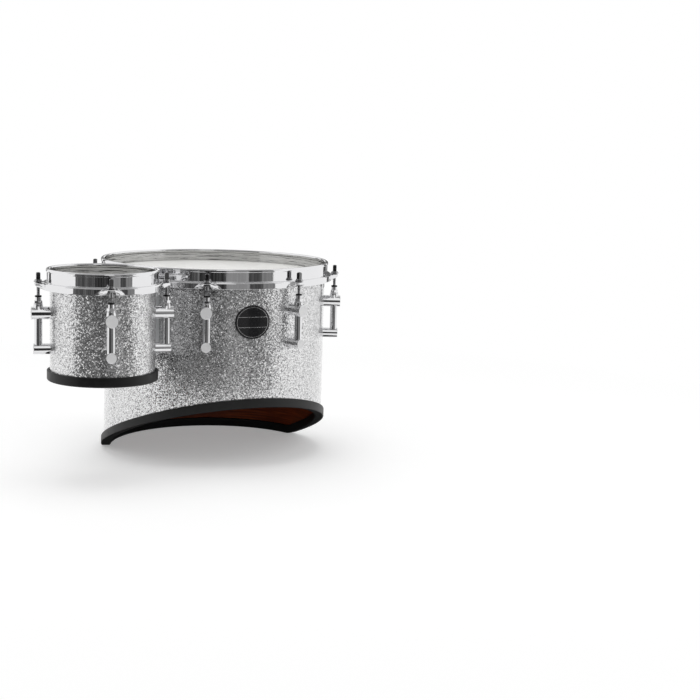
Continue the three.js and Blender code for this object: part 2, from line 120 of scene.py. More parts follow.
class Graph:
    """The nodes round a material's Principled shader, or round the world's background."""

    def __init__(self, owner: bpy.types.Material | bpy.types.World) -> None:
        """Starts on the nodes that the owner has.

        Args:
            owner: The material or the world.
        """
        owner.use_nodes = True
        self.owner, self.tree = owner, owner.node_tree
        self.shader = self.tree.nodes.get("Principled BSDF") or self.tree.nodes["Background"]

    @cached_property
    def place(self) -> Socket:
        """The place in the object's own coordinates."""
        return self.node("TexCoord").outputs["Object"]

    def node(self, kind: str, inputs: dict | None = None, **settings: object) -> bpy.types.Node:
        """Adds a node.

        Args:
            kind: The node's type, without the ShaderNode before it.
            inputs: What goes into its sockets, by name or number.
            **settings: Properties of the node.

        Returns:
            The new node.
        """
        made = self.tree.nodes.new(f"ShaderNode{kind}")
        for key, value in settings.items():
            setattr(made, key, value)
        for key, source in (inputs or {}).items():
            self.feed(made.inputs[key], source)
        return made

    def feed(self, target: Socket, source: object) -> None:
        """Links a socket, or sets a plain value, on an input.

        Args:
            target: The input.
            source: The socket or value.
        """
        if isinstance(source, Socket):
            self.tree.links.new(source, target)
        else:
            target.default_value = source

    def dress(self, **inputs: object) -> None:
        """Feeds the shader's own sockets, with _ for a space in their names."""
        for key, source in inputs.items():
            self.feed(self.shader.inputs[key.replace("_", " ").title().replace("Ior", "IOR")], source)

    def noise(
        self, scale: float, detail: float = 2.0, warp: float = 0.0, place: Socket | None = None
    ) -> Socket:
        """Fractal noise from 0 to 1, of scale features per metre and detail octaves."""
        inputs = {"Vector": place or self.place, "Scale": scale, "Detail": detail, "Distortion": warp}
        return self.node("TexNoise", inputs).outputs["Fac"]

    def grain(self, place: Socket, scale: Color, detail: float = 2.0, warp: float = 0.0) -> Socket:
        """Noise with its own number of features per metre along each axis."""
        return self.noise(1.0, detail, warp, self.vector("MULTIPLY", place, scale))

    def cells(self, size: float) -> Socket:
        """A random colour for each cell of a broken-up space, its size in metres."""
        return self.node("TexVoronoi", {"Vector": self.place, "Scale": 1 / size}).outputs["Color"]

    def parts(self, color: Socket) -> Sequence[Socket]:
        """Three values from one colour."""
        return self.node("SeparateColor", {0: color}).outputs

    def math(self, operation: str, first: object, second: object = 0.0, clamp: bool = False) -> Socket:
        """One sum on two values, held within 0 and 1 if it is to be clamped."""
        return self.node("Math", {0: first, 1: second}, operation=operation, use_clamp=clamp).outputs[0]

    def times(self, first: object, second: object) -> Socket:
        """Multiplies two values."""
        return self.math("MULTIPLY", first, second)

    def plus(self, first: object, second: object) -> Socket:
        """Adds two values."""
        return self.math("ADD", first, second)

    def vector(self, operation: str, first: object, second: object = (0.0, 0.0, 0.0)) -> Socket:
        """One sum on two vectors.

        Args:
            operation: The Vector Math node's operation.
            first: A socket or vector.
            second: A socket or vector, or the factor of a SCALE.

        Returns:
            The resulting vector, or the value of a LENGTH.
        """
        inputs = {0: first, "Scale" if operation == "SCALE" else 1: second}
        made = self.node("VectorMath", inputs, operation=operation)
        return made.outputs["Value" if operation == "LENGTH" else 0]

    def spread(self, value: Socket, low: float, high: float, start: float = 0.0, end: float = 1.0) -> Socket:
        """Maps a value from low..high onto start..end, and holds it there."""
        inputs = {"Value": value, "From Min": low, "From Max": high, "To Min": start, "To Max": end}
        return self.node("MapRange", inputs).outputs["Result"]

    def ramp(self, value: Socket, *stops: tuple[float, Color]) -> Socket:
        """Colours a value.

        Args:
            value: The value to colour.
            *stops: Places from 0 to 1 with their colours.

        Returns:
            The colour.
        """
        made = self.node("ValToRGB", {"Fac": value})
        elements = made.color_ramp.elements
        while len(elements) < len(stops):
            elements.new(0.5)
        for element, (position, color) in zip(elements, stops):
            element.position = position
            element.color = (*color, 1.0)
        return made.outputs["Color"]

    def mix(self, share: Socket, *colors: Socket | Color) -> Socket:
        """Mixes two colours by the second one's share, in the Mix node's colour sockets."""
        first, second = ((*color, 1.0) if isinstance(color, tuple) else color for color in colors)
        return self.node("Mix", {0: share, 6: first, 7: second}, data_type="RGBA").outputs[2]

    def bump(self, height: Socket, depth: float, strength: float, normal: Socket | None = None) -> Socket:
        """Turns a height pattern, its depth in metres, into a normal that starts from another."""
        inputs = {"Height": height, "Distance": depth, "Strength": strength}
        return self.node("Bump", inputs | ({"Normal": normal} if normal else {})).outputs["Normal"]

    def around(self, centre: Corner, radius: float) -> Socket:
        """Unrolls the place round an upright axis.

        Args:
            centre: The axis in metres.
            radius: Radius at which a turn keeps its length, in metres.

        Returns:
            The vector (length round the axis, distance from it, height).
        """
        x, y, z = self.node("SeparateXYZ", {0: self.vector("SUBTRACT", self.place, centre)}).outputs
        turn = self.times(self.math("ARCTAN2", y, x), radius)
        distance = self.math("SQRT", self.plus(self.times(x, x), self.times(y, y)))
        return self.node("CombineXYZ", {0: turn, 1: distance, 2: z}).outputs[0]

    def seen_by(self, first: str, *others: str) -> Socket:
        """Tells rays apart.

        Args:
            first: A kind of ray.
            *others: More kinds.

        Returns:
            1 for rays of these kinds, 0 for the rest.
        """
        path = self.node("LightPath")
        seen = path.outputs[f"Is {first} Ray"]
        for kind in others:
            seen = self.math("ADD", seen, path.outputs[f"Is {kind} Ray"], True)
        return seen


@dataclass(frozen=True)
class Finish:
    """A finish: what a surface is made of and how it has worn."""

    name: str
    slot: Slot

    def material(self) -> bpy.types.Material:
        """Gives the finish as a material.

        Returns:
            The material, made once.
        """
        made = bpy.data.materials.get(self.name)
        if not made:
            made = bpy.data.materials.new(self.name)
            self.draw(Graph(made))
        return made

    def draw(self, graph: Graph) -> None:
        """Draws the finish in an empty graph."""
        raise NotImplementedError


@dataclass(frozen=True)
class PlatedMetal(Finish):
    """Plated or bare metal with fine scratches, smudges and small pits."""

    color: Color
    roughness: float
    metallic: float = 1.0
    smudge: float = 0.08
    scratch: float = 0.0
    ripple: float = 0.0
    pit_color: Color = (0.32, 0.31, 0.30)

    def draw(self, graph: Graph) -> None:
        """Draws the metal.

        Args:
            graph: The empty graph.
        """
        smudges = graph.spread(graph.noise(55.0, 4.0), 0.45, 0.75)
        pits = graph.spread(graph.noise(1500.0), 0.74, 0.80)
        lines = graph.grain(graph.place, (260.0, 260.0, 4200.0), 3.0, 0.4)
        dull = graph.plus(graph.times(smudges, self.smudge), self.roughness)
        dull = graph.plus(dull, graph.times(lines, self.scratch))
        fine = graph.plus(graph.noise(900.0, 3.0), graph.times(lines, self.scratch * 6))
        normal = graph.bump(fine, 4e-6, 0.5)
        if self.ripple:
            normal = graph.bump(graph.grain(graph.place, (14.0, 14.0, 300.0)), self.ripple, 1.0, normal)
        graph.dress(
            metallic=self.metallic,
            base_color=graph.mix(graph.times(pits, 0.5), self.color, self.pit_color),
            roughness=graph.plus(dull, graph.times(pits, 0.3)),
            normal=normal,
        )


@dataclass(frozen=True)
class GlitterCovering(Finish):
    """Silver flakes, most of them lying nearly flat, under a sheet of clear plastic."""

    flake: float = 1.35 * MM
    clump: float = 2.6 * MM
    tilt: float = 0.70

    def draw(self, graph: Graph) -> None:
        """Draws the flakes and the sheet.

        Args:
            graph: The empty graph.
        """
        flakes = graph.cells(self.flake)
        _, flake_painted_glint, flake_lean = graph.parts(flakes)
        clump_lean, clump_painted_glint, clump_sheen = graph.parts(graph.cells(self.clump))
        lean = graph.times(graph.math("POWER", flake_lean, 1.5), self.tilt)
        lean = graph.plus(lean, graph.times(clump_lean, 0.03))
        away = graph.vector("SCALE", graph.vector("SUBTRACT", flakes, (0.5, 0.5, 0.5)), lean)
        facing = graph.node("NewGeometry").outputs["Normal"]
        # Each flake's brightness in the base colour is a painted glint: sparkle painted in on top of the
        # tilted flake normals.
        tone = graph.plus(graph.times(flake_painted_glint, 0.95), graph.times(clump_painted_glint, 0.05))
        stops = ((0.0, (0.24, 0.24, 0.245)), (0.40, (0.68, 0.68, 0.685)), (1.0, (0.94, 0.94, 0.945)))
        graph.dress(
            metallic=0.85, coat_weight=1.0, coat_roughness=0.05, coat_ior=1.5,
            base_color=graph.ramp(tone, *stops),
            roughness=graph.spread(clump_sheen, 0.0, 1.0, 0.12, 0.20),
            normal=graph.vector("NORMALIZE", graph.vector("ADD", facing, graph.vector("SCALE", away, 2.0))),
        )


@dataclass(frozen=True)
class StainedMaple(Finish):
    """Bent maple with a red-brown stain, its grain running round the shell."""

    centre: Corner
    radius: float

    def draw(self, graph: Graph) -> None:
        """Draws the wood.

        Args:
            graph: The empty graph.
        """
        unrolled = graph.around(self.centre, self.radius)
        rings = graph.grain(unrolled, (14.0, 60.0, 330.0), 5.0, 0.6)
        pores = graph.grain(unrolled, (120.0, 400.0, 2600.0))
        figure = graph.grain(unrolled, (22.0, 22.0, 9.0), 3.0)
        stops = ((0.25, (0.11, 0.016, 0.004)), (0.5, (0.24, 0.042, 0.009)), (0.75, (0.40, 0.088, 0.020)))
        wood = graph.ramp(rings, *stops)
        wood = graph.mix(graph.spread(figure, 0.35, 0.7, 0.0, 0.35), wood, (0.09, 0.024, 0.010))
        graph.dress(
            coat_weight=0.05, coat_roughness=0.3, specular_ior_level=0.22,
            base_color=graph.mix(graph.spread(pores, 0.62, 0.75, 0.0, 0.6), wood, (0.04, 0.010, 0.005)),
            roughness=graph.spread(rings, 0.2, 0.8, 0.38, 0.55),
            normal=graph.bump(graph.math("SUBTRACT", rings, graph.times(pores, 0.5)), 6e-5, 0.6),
        )


@dataclass(frozen=True)
class Rubber(Finish):
    """Black extruded rubber, a little dusty where it has been handled."""

    def draw(self, graph: Graph) -> None:
        """Draws the rubber.

        Args:
            graph: The empty graph.
        """
        dust = graph.spread(graph.noise(70.0, 5.0), 0.5, 0.8)
        grain = graph.noise(2400.0, 3.0)
        graph.dress(
            specular_ior_level=0.32,
            base_color=graph.mix(graph.times(dust, 0.25), (0.006, 0.006, 0.006), (0.028, 0.028, 0.027)),
            roughness=graph.plus(graph.spread(grain, 0.3, 0.7, 0.36, 0.5), graph.times(dust, 0.12)),
            normal=graph.bump(graph.plus(grain, graph.times(graph.noise(160.0), 2.0)), 4e-5, 0.5),
        )


@dataclass(frozen=True)
class DrumFilm(Finish):
    """Smooth white polyester film with scuffs where the mallets land."""

    centre: Corner
    radius: float

    def draw(self, graph: Graph) -> None:
        """Draws the film.

        Args:
            graph: The empty graph.
        """
        distance = graph.vector("LENGTH", graph.vector("SUBTRACT", graph.place, self.centre))
        played = graph.spread(distance, self.radius * 0.15, self.radius * 0.75, 1.0, 0.0)
        scuffs = graph.spread(graph.noise(240.0, 5.0, 1.2), 0.52, 0.72)
        specks = graph.spread(graph.noise(1300.0), 0.66, 0.74)
        marks = graph.times(played, graph.plus(graph.times(scuffs, 0.35), graph.times(specks, 0.3)))
        stops = ((0.3, (0.80, 0.795, 0.77)), (0.7, (0.86, 0.855, 0.835)))
        sheen = graph.spread(graph.noise(500.0, 3.0), 0.3, 0.7, 0.30, 0.42)
        graph.dress(
            subsurface_weight=0.08, subsurface_radius=(0.002, 0.002, 0.002), specular_ior_level=0.5,
            base_color=graph.mix(marks, graph.ramp(graph.noise(18.0, 3.0), *stops), (0.52, 0.515, 0.50)),
            roughness=graph.plus(sheen, graph.times(marks, 0.3)),
            normal=graph.bump(graph.noise(1800.0, 3.0), 1.2e-5, 0.5),
        )


@dataclass(frozen=True)
class Enamel(Finish):
    """Glossy black enamel with a faint orange peel and fine dust."""

    def draw(self, graph: Graph) -> None:
        """Draws the enamel.

        Args:
            graph: The empty graph.
        """
        specks = graph.spread(graph.noise(2600.0), 0.68, 0.76)
        graph.dress(
            specular_ior_level=0.5, coat_weight=0.4, coat_roughness=0.06,
            base_color=graph.mix(graph.times(specks, 0.4), (0.008, 0.008, 0.009), (0.06, 0.06, 0.06)),
            roughness=graph.spread(graph.noise(300.0, 3.0), 0.3, 0.7, 0.16, 0.30),
            normal=graph.bump(graph.noise(420.0), 1.5e-5, 0.4),
        )


CHROME = PlatedMetal("polished_chrome", Slot.CHROME, (0.80, 0.80, 0.81), 0.035, smudge=0.07)
CAP_CHROME = PlatedMetal("turned_cap", Slot.CHROME, (0.82, 0.82, 0.825), 0.5, metallic=0.1, scratch=0.1)
STEEL = PlatedMetal("bright_steel", Slot.STEEL, (0.42, 0.42, 0.425), 0.09, smudge=0.10, scratch=0.05)
HEAD_STEEL = PlatedMetal("key_head_steel", Slot.STEEL, (0.17, 0.17, 0.172), 0.12, smudge=0.12, scratch=0.05)
# Inner walls of the counterhoops: chrome with a darker base colour, darker still on the small drum. This is
# painted shade standing in for the darker reflections there.
INNER_CHROME_PAINTED_SHADE = PlatedMetal("inner_chrome_painted_shade", Slot.CHROME, (0.54, 0.54, 0.535), 0.04, ripple=6e-4)
SMALL_INNER_PAINTED_SHADE = PlatedMetal("small_inner_chrome_painted_shade", Slot.CHROME, (0.40, 0.40, 0.395), 0.04, ripple=1.5e-3)
HOOP_ALLOY = PlatedMetal(
    "extruded_aluminium", Slot.HOOP_ALLOY, (0.74, 0.745, 0.75), 0.30, smudge=0.1, scratch=0.12
)
SATIN_ALLOY = PlatedMetal(
    "satin_aluminium", Slot.SATIN_ALLOY, (0.64, 0.645, 0.65), 0.36, smudge=0.1, scratch=0.1
)
GLITTER = GlitterCovering("silver_glitter", Slot.GLITTER)
RUBBER = Rubber("edge_rubber", Slot.RUBBER)
LOCK_RUBBER = Rubber("lock_ring_rubber", Slot.RUBBER)
ENAMEL = Enamel("black_enamel", Slot.PLATE)
BADGE_LINE = PlatedMetal("badge_silver", Slot.PLATE, (0.78, 0.78, 0.78), 0.22, smudge=0.1)


# ---- Solid modelling ----


def bevelled(
    bm: BMesh, geom: Geometry, width: float, segments: int, affect: str = "EDGES", clamp: bool = False
) -> BMesh:
    """Rounds edges or corners off evenly.

    Args:
        bm: The mesh.
        geom: The edges or corners.
        width: The width of the rounding.
        segments: Its number of facets.
        affect: Whether EDGES or VERTICES are rounded.
        clamp: Whether it stops where it would overlap.

    Returns:
        The same mesh.
    """
    bmesh.ops.bevel(
        bm, geom=geom, offset=width, offset_type="OFFSET", segments=segments, profile=0.5,
        affect=affect, material=-1, clamp_overlap=clamp,
    )
    return bm


def spun(bm: BMesh, geom: Geometry, angle: float, steps: int) -> Geometry:
    """Spins geometry round Z.

    Args:
        bm: The mesh.
        geom: What is spun.
        angle: How far, in radians.
        steps: The number of steps.

    Returns:
        The geometry's last copy.
    """
    return bmesh.ops.spin(
        bm, geom=geom, cent=(0, 0, 0), axis=(0, 0, 1), dvec=(0, 0, 0), angle=angle,
        steps=steps, use_merge=False, use_normal_flip=False, use_duplicate=False,
    )["geom_last"]


def draw_outline(bm: BMesh, corners: Sequence[Corner]) -> None:
    """Draws a closed outline in the XZ plane, with rounded corners and open along the axis.

    Args:
        bm: The mesh to draw in.
        corners: Each corner's distance from the axis, its height and its rounding.
    """
    verts = [bm.verts.new((across, 0.0, height)) for across, height, _ in corners]
    bm.faces.new(verts)
    for vert, (_, _, rounding) in zip(verts, corners):
        if rounding:
            bevelled(bm, [vert], rounding, 4 if rounding > WIDE_ROUNDING else 2, "VERTICES", True)
    bmesh.ops.delete(bm, geom=bm.faces[:], context="FACES_ONLY")
    on_axis = [edge for edge in bm.edges if all(abs(vert.co.x) < MERGE for vert in edge.verts)]
    bmesh.ops.delete(bm, geom=on_axis, context="EDGES")


def swept(bm: BMesh, sectors: Iterable[tuple[float, int]]) -> BMesh:
    """Spins an outline round Z into a closed solid.

    Args:
        bm: A mesh that holds only the outline.
        sectors: Angles in radians that make a full turn, each with its number of steps.

    Returns:
        The same mesh.
    """
    last = bm.verts[:] + bm.edges[:]
    for angle, steps in sectors:
        last = spun(bm, last, angle, steps)
    bmesh.ops.remove_doubles(bm, verts=bm.verts[:], dist=SEAM)
    bmesh.ops.recalc_face_normals(bm, faces=bm.faces[:])
    return bm


def turned(corners: Sequence[Corner], steps: int = 48) -> BMesh:
    """Turns a closed outline round Z.

    Args:
        corners: The outline as in draw_outline.
        steps: Segments in the full turn.

    Returns:
        The solid.
    """
    bm = bmesh.new()
    draw_outline(bm, corners)
    return swept(bm, ((TAU, steps),))


def bar(radius: float, low: float, high: float, rounding: float = 0.0, steps: int = 32) -> BMesh:
    """A round bar along Z with rounded ends."""
    return turned([(0, low, 0), (radius, low, rounding), (radius, high, rounding), (0, high, 0)], steps)


def tube(inner: float, outer: float, low: float, high: float, rounding: float, steps: int = 48) -> BMesh:
    """A round tube or ring along Z."""
    return turned([(inner, low, 0), (outer, low, rounding), (outer, high, rounding), (inner, high, 0)], steps)


def hexagon(radius: float, low: float, high: float, chamfer: float) -> BMesh:
    """A hexagonal bar along Z with its end corners taken off.

    Args:
        radius: Middle to a corner.
        low: Lower end.
        high: Upper end.
        chamfer: How far the corners are rounded off at the ends.

    Returns:
        The solid.
    """
    bm = bmesh.new()
    bmesh.ops.create_cone(bm, cap_ends=True, segments=6, radius1=radius, radius2=radius, depth=high - low)
    bevelled(shifted(bm, z=(low + high) / 2), bm.edges[:], 0.18, 2)
    dome = turned([
        (0, low, 0), (radius - chamfer, low, 0), (radius, low + chamfer * 0.6, 0),
        (radius, high - chamfer * 0.6, 0), (radius - chamfer, high, 0), (0, high, 0),
    ])
    return combined(bm, dome, Cut.KEEP_COMMON)


def block(low: Corner, high: Corner, rounding: float = 0.0) -> BMesh:
    """A box between two corners.

    Args:
        low: Its corner with the least of each.
        high: The opposite corner.
        rounding: How far its edges are rounded off.

    Returns:
        The solid.
    """
    bm = bmesh.new()
    bmesh.ops.create_cube(bm, size=1.0)
    bmesh.ops.scale(bm, vec=Vector(high) - Vector(low), verts=bm.verts[:])
    shifted(bm, *(Vector(high) + Vector(low)) / 2)
    return bevelled(bm, bm.edges[:], rounding, 3) if rounding else bm


def moved(bm: BMesh, matrix: Matrix) -> BMesh:
    """Moves a solid in place and returns it."""
    bmesh.ops.transform(bm, matrix=matrix, verts=bm.verts[:])
    return bm


def shifted(bm: BMesh, x: float = 0.0, y: float = 0.0, z: float = 0.0) -> BMesh:
    """Moves a solid along the axes and returns it."""
    return moved(bm, Matrix.Translation((x, y, z)))


def laid(bm: BMesh, z: float = 0.0, y: float = 0.0) -> BMesh:
    """Lays a solid made along Z down along X, at a height and a place across."""
    return shifted(moved(bm, Matrix.Rotation(QUARTER, 4, "Y")), y=y, z=z)


def put(name: str, data: bpy.types.ID) -> bpy.types.Object:
    """Puts a new object in the scene.

    Args:
        name: The object's name.
        data: Its mesh, light or camera.

    Returns:
        The object.
    """
    made = bpy.data.objects.new(name, data)
    bpy.context.scene.collection.objects.link(made)
    return made


def solid_object(bm: BMesh, name: str, *materials: bpy.types.Material) -> bpy.types.Object:
    """Makes a solid an object of the scene.

    Args:
        bm: The solid. It is used up.
        name: The object's name.
        *materials: Its materials, in the order of its faces' material numbers.

    Returns:
        The object.
    """
    mesh = bpy.data.meshes.new(name)
    bm.to_mesh(mesh)
    bm.free()
    for material in materials:
        mesh.materials.append(material)
    return put(name, mesh)


def combined(body: BMesh, tool: BMesh, cut: Cut) -> BMesh:
    """Joins two closed solids, or takes one from the other.

    Args:
        body: The solid to work on. It is used up.
        tool: The solid to work with. It is used up.
        cut: What to do with them.

    Returns:
        A new solid.
    """
    holders = [solid_object(source, "work") for source in (body, tool)]
    modifier = holders[0].modifiers.new("cut", "BOOLEAN")
    modifier.object, modifier.operation, modifier.solver = holders[1], cut.value, "MANIFOLD"
    evaluated = holders[0].evaluated_get(bpy.context.evaluated_depsgraph_get())
    made = bmesh.new()
    made.from_mesh(evaluated.to_mesh())
    evaluated.to_mesh_clear()
    for holder in holders:
        mesh = holder.data
        bpy.data.objects.remove(holder)
        bpy.data.meshes.remove(mesh)
    if not made.faces:
        raise ValueError(f"nothing is left after {cut.name}")
    bmesh.ops.remove_doubles(made, verts=made.verts[:], dist=MERGE)
    return made


def joined(whole: BMesh, *parts: BMesh) -> BMesh:
    """Joins closed solids into one."""
    return reduce(lambda one, other: combined(one, other, Cut.JOIN), parts, whole)


def gathered(parts: Sequence[BMesh]) -> BMesh:
    """Puts solids that don't touch into one mesh.

    Args:
        parts: The solids. They are used up.

    Returns:
        The mesh.
    """
    whole = bmesh.new()
    for part in parts:
        mesh = bpy.data.meshes.new("part")
        part.to_mesh(mesh)
        part.free()
        whole.from_mesh(mesh)
        bpy.data.meshes.remove(mesh)
    return whole


def soften(bm: BMesh, width: float, angle: float) -> BMesh:
    """Bevels the sharp edges of a solid.

    Args:
        bm: The solid.
        width: Width of the bevel.
        angle: Smallest angle in degrees between two faces that counts as an edge.

    Returns:
        The same solid.
    """
    bmesh.ops.dissolve_limit(bm, angle_limit=math.radians(0.5), verts=bm.verts[:], edges=bm.edges[:])
    sharp = [e for e in bm.edges if e.is_manifold and e.calc_face_angle(0.0) > math.radians(angle)]
    return bevelled(bm, sharp, width, 2, clamp=True)


def edges_along(bm: BMesh, axis: int, longer: float) -> list[BMEdge]:
    """The edges that run further than this along an axis."""
    return [e for e in bm.edges if abs(e.verts[0].co[axis] - e.verts[1].co[axis]) > longer]


def sliced(bm: BMesh, axis: int, longer: float) -> BMesh:
    """Cuts a solid's long edges into many, so that it can be bent."""
    bmesh.ops.subdivide_edges(bm, edges=edges_along(bm, axis, longer), cuts=BEND_CUTS, use_grid_fill=True)
    return bm


def second_finish(bm: BMesh, chosen: Callable[[Vector], bool]) -> BMesh:
    """Gives some faces the second finish.

    Args:
        bm: The solid.
        chosen: Tells from a face's middle whether it is one of them.

    Returns:
        The same solid.
    """
    for face in bm.faces:
        if chosen(face.calc_center_median()):
            face.material_index = 1
    return bm


def station(angle: float, centre: Corner = (0.0, 0.0, 0.0)) -> Matrix:
    """The frame at an angle in degrees from the front, in which +X points out of the drum."""
    return Matrix.Translation(centre) @ Matrix.Rotation(math.radians(angle) - QUARTER, 4, "Z")


def add_piece(
    bm: BMesh, name: str, body: str, finishes: Sequence[Finish], replaces: Sequence[str],
    place: Matrix, crease: float = CREASE,
) -> None:
    """Makes a finished solid a piece of the frame.

    Args:
        bm: The solid in millimetres. It is used up.
        name: The piece's name.
        body: The body that it rides on.
        finishes: Its finishes, in the order of its faces' material numbers.
        replaces: The nodes that it stands for.
        place: Where it goes, in millimetres.
        crease: Angle in degrees past which an edge stays sharp.
    """
    moved(bm, Matrix.Scale(MM, 4) @ place)
    for face in bm.faces:
        face.smooth = True
    piece = solid_object(bm, name, *(finish.material() for finish in finishes))
    piece.data.set_sharp_from_angle(angle=math.radians(crease))
    piece.modifiers.new("flat faces stay flat", "WEIGHTED_NORMAL").keep_sharp = True
    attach(piece, body)
    if replaces:
        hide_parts(*replaces)
    LOG.info("%s: %d faces on %s", name, len(piece.data.polygons), body)


# ---- Sizes that both drums share ----

GAP = 0.3
WRAP = 0.8
WRAP_DROP = 3.5
FILM = 0.4
COLLAR_STANDOFF = 0.9
COLLAR_HEIGHT = 8.0
FLESH_STANDOFF = COLLAR_STANDOFF + FILM + GAP
FLESH_WIDTH = 6.3
FLESH_HEIGHT = 6.2
HOOP_SHOULDER = -0.5
ROD_STANDOFF = 16.25
UPPER_POST = -45.5
LOWER_POST = UPPER_POST - 52.0


@dataclass(frozen=True)
class Drum:
    """One drum's sizes, its number of lugs and the steps in its rounds."""

    name: str
    radius: float
    wall: float
    back_depth: float
    front_depth: float
    scoop_tilt: float
    scoop_face: float
    lugs: int
    first_lug: float
    steps: int
    centre: Corner
    scoop_bend: float = 0.8

    @property
    def shell_outer(self) -> float:
        """Radius of the bare shell."""
        return self.radius - WRAP - GAP

    @property
    def shell_inner(self) -> float:
        """Radius inside the shell."""
        return self.shell_outer - self.wall

    @property
    def rod_axis(self) -> float:
        """Distance of the rods from the drum's axis."""
        return self.radius + ROD_STANDOFF

    @property
    def hoop_body(self) -> str:
        """Name of the body that the hoop and the head ride on."""
        return f"{self.name}_hoop_and_head"

    @property
    def metres(self) -> tuple[Corner, float]:
        """Its middle and its radius in metres, as its finishes take them."""
        return tuple(value * MM for value in self.centre), self.radius * MM

    def lug_angles(self) -> list[float]:
        """Angles of the lugs in degrees."""
        return [self.first_lug + 360 * number / self.lugs for number in range(self.lugs)]

    def edge_height(self, x: float, y: float) -> float:
        """Height of the trim's lower edge at a place.

        Args:
            x: Place across.
            y: Place front to back.

        Returns:
            The height of the slanted cut, or of the level one where that is higher.
        """
        if not self.scoop_tilt:
            return -self.front_depth
        turn = math.atan2(x, -y) - math.radians(self.scoop_face)
        slant = self.radius * math.tan(math.radians(self.scoop_tilt))
        slanted = -self.front_depth - slant * (1 - math.cos(turn))
        gap = abs(slanted + self.back_depth) / self.scoop_bend
        return max(slanted, -self.back_depth) + self.scoop_bend * math.log1p(math.exp(-gap))

    def follow_edge(self, bm: BMesh) -> BMesh:
        """Moves the corners drawn at FOOT to the drum's lower edge.

        Args:
            bm: A solid round the drum's axis.

        Returns:
            The same solid.
        """
        for vert in bm.verts:
            if vert.co.z < FOOT / 2:
                vert.co.z += self.edge_height(vert.co.x, vert.co.y) - FOOT
        return bm

    def seat_inside(self, radius: float) -> float:
        """Distance from the axis at which a flat washer of this radius rests on the inside."""
        return math.sqrt(self.shell_inner ** 2 - radius ** 2)

    def add(
        self, bm: BMesh, title: str, body: str, finishes: Sequence[Finish], node: str, crease: float = CREASE
    ) -> None:
        """Adds one of the drum's pieces in place of its node."""
        place = Matrix.Translation(self.centre)
        add_piece(bm, f"{self.name}_{title}", body, finishes, [f"{self.name}_{node}"], place, crease)


LARGE = Drum("large", 177.8, 6.5, 292.0, 195.0, 22.2, 20.5, 8, -3.0, 320, (0.0, 0.0, 0.0))
PAIR_SPAN = 297.4
PAIR_ANGLE = -32.4
SMALL = Drum(
    "small", 76.2, 5.5, 143.0, 143.0, 0.0, 0.0, 4, 11.6, 192,
    (PAIR_SPAN * math.sin(math.radians(PAIR_ANGLE)), -PAIR_SPAN * math.cos(math.radians(PAIR_ANGLE)), 4.8),
)


@dataclass(frozen=True)
class DrumShell:
    """The wooden shell, its covering and the rubber channel on its lower edge."""

    drum: Drum
    bearing_slope: float = 4.0
    bearing_round: float = 2.4
    crown: float = -FILM - GAP
    trim_height: float = 14.5
    trim_standoff: float = 4.2
    trim_floor: float = 4.3
    trim_inside: float = 3.0

    def build(self) -> None:
        """Makes the shell, the covering and the trim."""
        drum = self.drum
        inner, outer = drum.shell_inner, drum.shell_outer
        top, floor = FOOT + self.trim_height, FOOT + self.trim_floor
        foot = FOOT + self.trim_floor + GAP
        trim_outer, trim_inner = drum.radius + self.trim_standoff, inner - self.trim_inside
        slot_outer, slot_inner = drum.radius + GAP, inner - GAP
        maple = StainedMaple(f"{drum.name}_stained_maple", Slot.MAPLE, *drum.metres)
        for title, node, finish, corners in (
            ("drum_shell", "shell", maple, [
                (inner, foot, 0), (outer, foot, 0), (outer, self.crown, self.bearing_round),
                (outer - self.bearing_slope, self.crown, 0.5), (inner, self.crown - self.bearing_slope, 0.8),
            ]),
            ("covering", "glitter_wrap", GLITTER, [
                (drum.radius - WRAP, foot, 0), (drum.radius, foot, 0),
                (drum.radius, -WRAP_DROP, 0.3), (drum.radius - WRAP, -WRAP_DROP, 0),
            ]),
            ("rubber_trim", "edge_trim", RUBBER, [
                (trim_outer, FOOT, 2.0), (trim_outer, top, 1.3), (slot_outer, top, 0.5),
                (slot_outer, floor, 0), (slot_inner, floor, 0), (slot_inner, top, 0.5),
                (trim_inner, top, 1.2), (trim_inner, FOOT, 2.0),
            ]),
        ):
            drum.add(drum.follow_edge(turned(corners, drum.steps)), title, BASE, [finish], node)


@dataclass(frozen=True)
class Head:
    """The film head and the hoop that it is held in."""

    drum: Drum
    bend: float = 1.7
    bend_drop: float = 2.4
    under_shoulder: float = -2.8
    groove_wall: float = 1.4
    groove_depth: float = 1.0

    def build(self) -> None:
        """Makes the film and its aluminium hoop."""
        drum = self.drum
        edge, collar = drum.radius - self.bend, drum.radius + COLLAR_STANDOFF
        inner = drum.radius + FLESH_STANDOFF
        outer = inner + FLESH_WIDTH
        top = self.under_shoulder - GAP
        low = top - FLESH_HEIGHT
        groove_inner, groove_outer = inner + self.groove_wall, outer - self.groove_wall
        groove_top = low + self.groove_depth
        white = DrumFilm(f"{drum.name}_white_film", Slot.FILM, *drum.metres)
        for title, node, finish, corners in (
            ("film_head", "batter_head", white, [
                (0, 0, 0), (edge, 0, 1.6), (collar + FILM, -self.bend_drop, 1.4),
                (collar + FILM, -COLLAR_HEIGHT, 0), (collar, -COLLAR_HEIGHT, 0),
                (collar, -self.bend_drop - FILM / 2, 1.2),
                (edge - FILM / 2, -FILM, 1.4), (0, -FILM, 0),
            ]),
            ("head_ring", "flesh_hoop", HOOP_ALLOY, [
                (inner, low, 0.5), (groove_inner, low, 0.3), (groove_inner, groove_top, 0.2),
                (groove_outer, groove_top, 0.2), (groove_outer, low, 0.3), (outer, low, 0.5),
                (outer, top, 0.9), (inner, top, 0.9),
            ]),
        ):
            drum.add(turned(corners, drum.steps), title, drum.hoop_body, [finish], node)


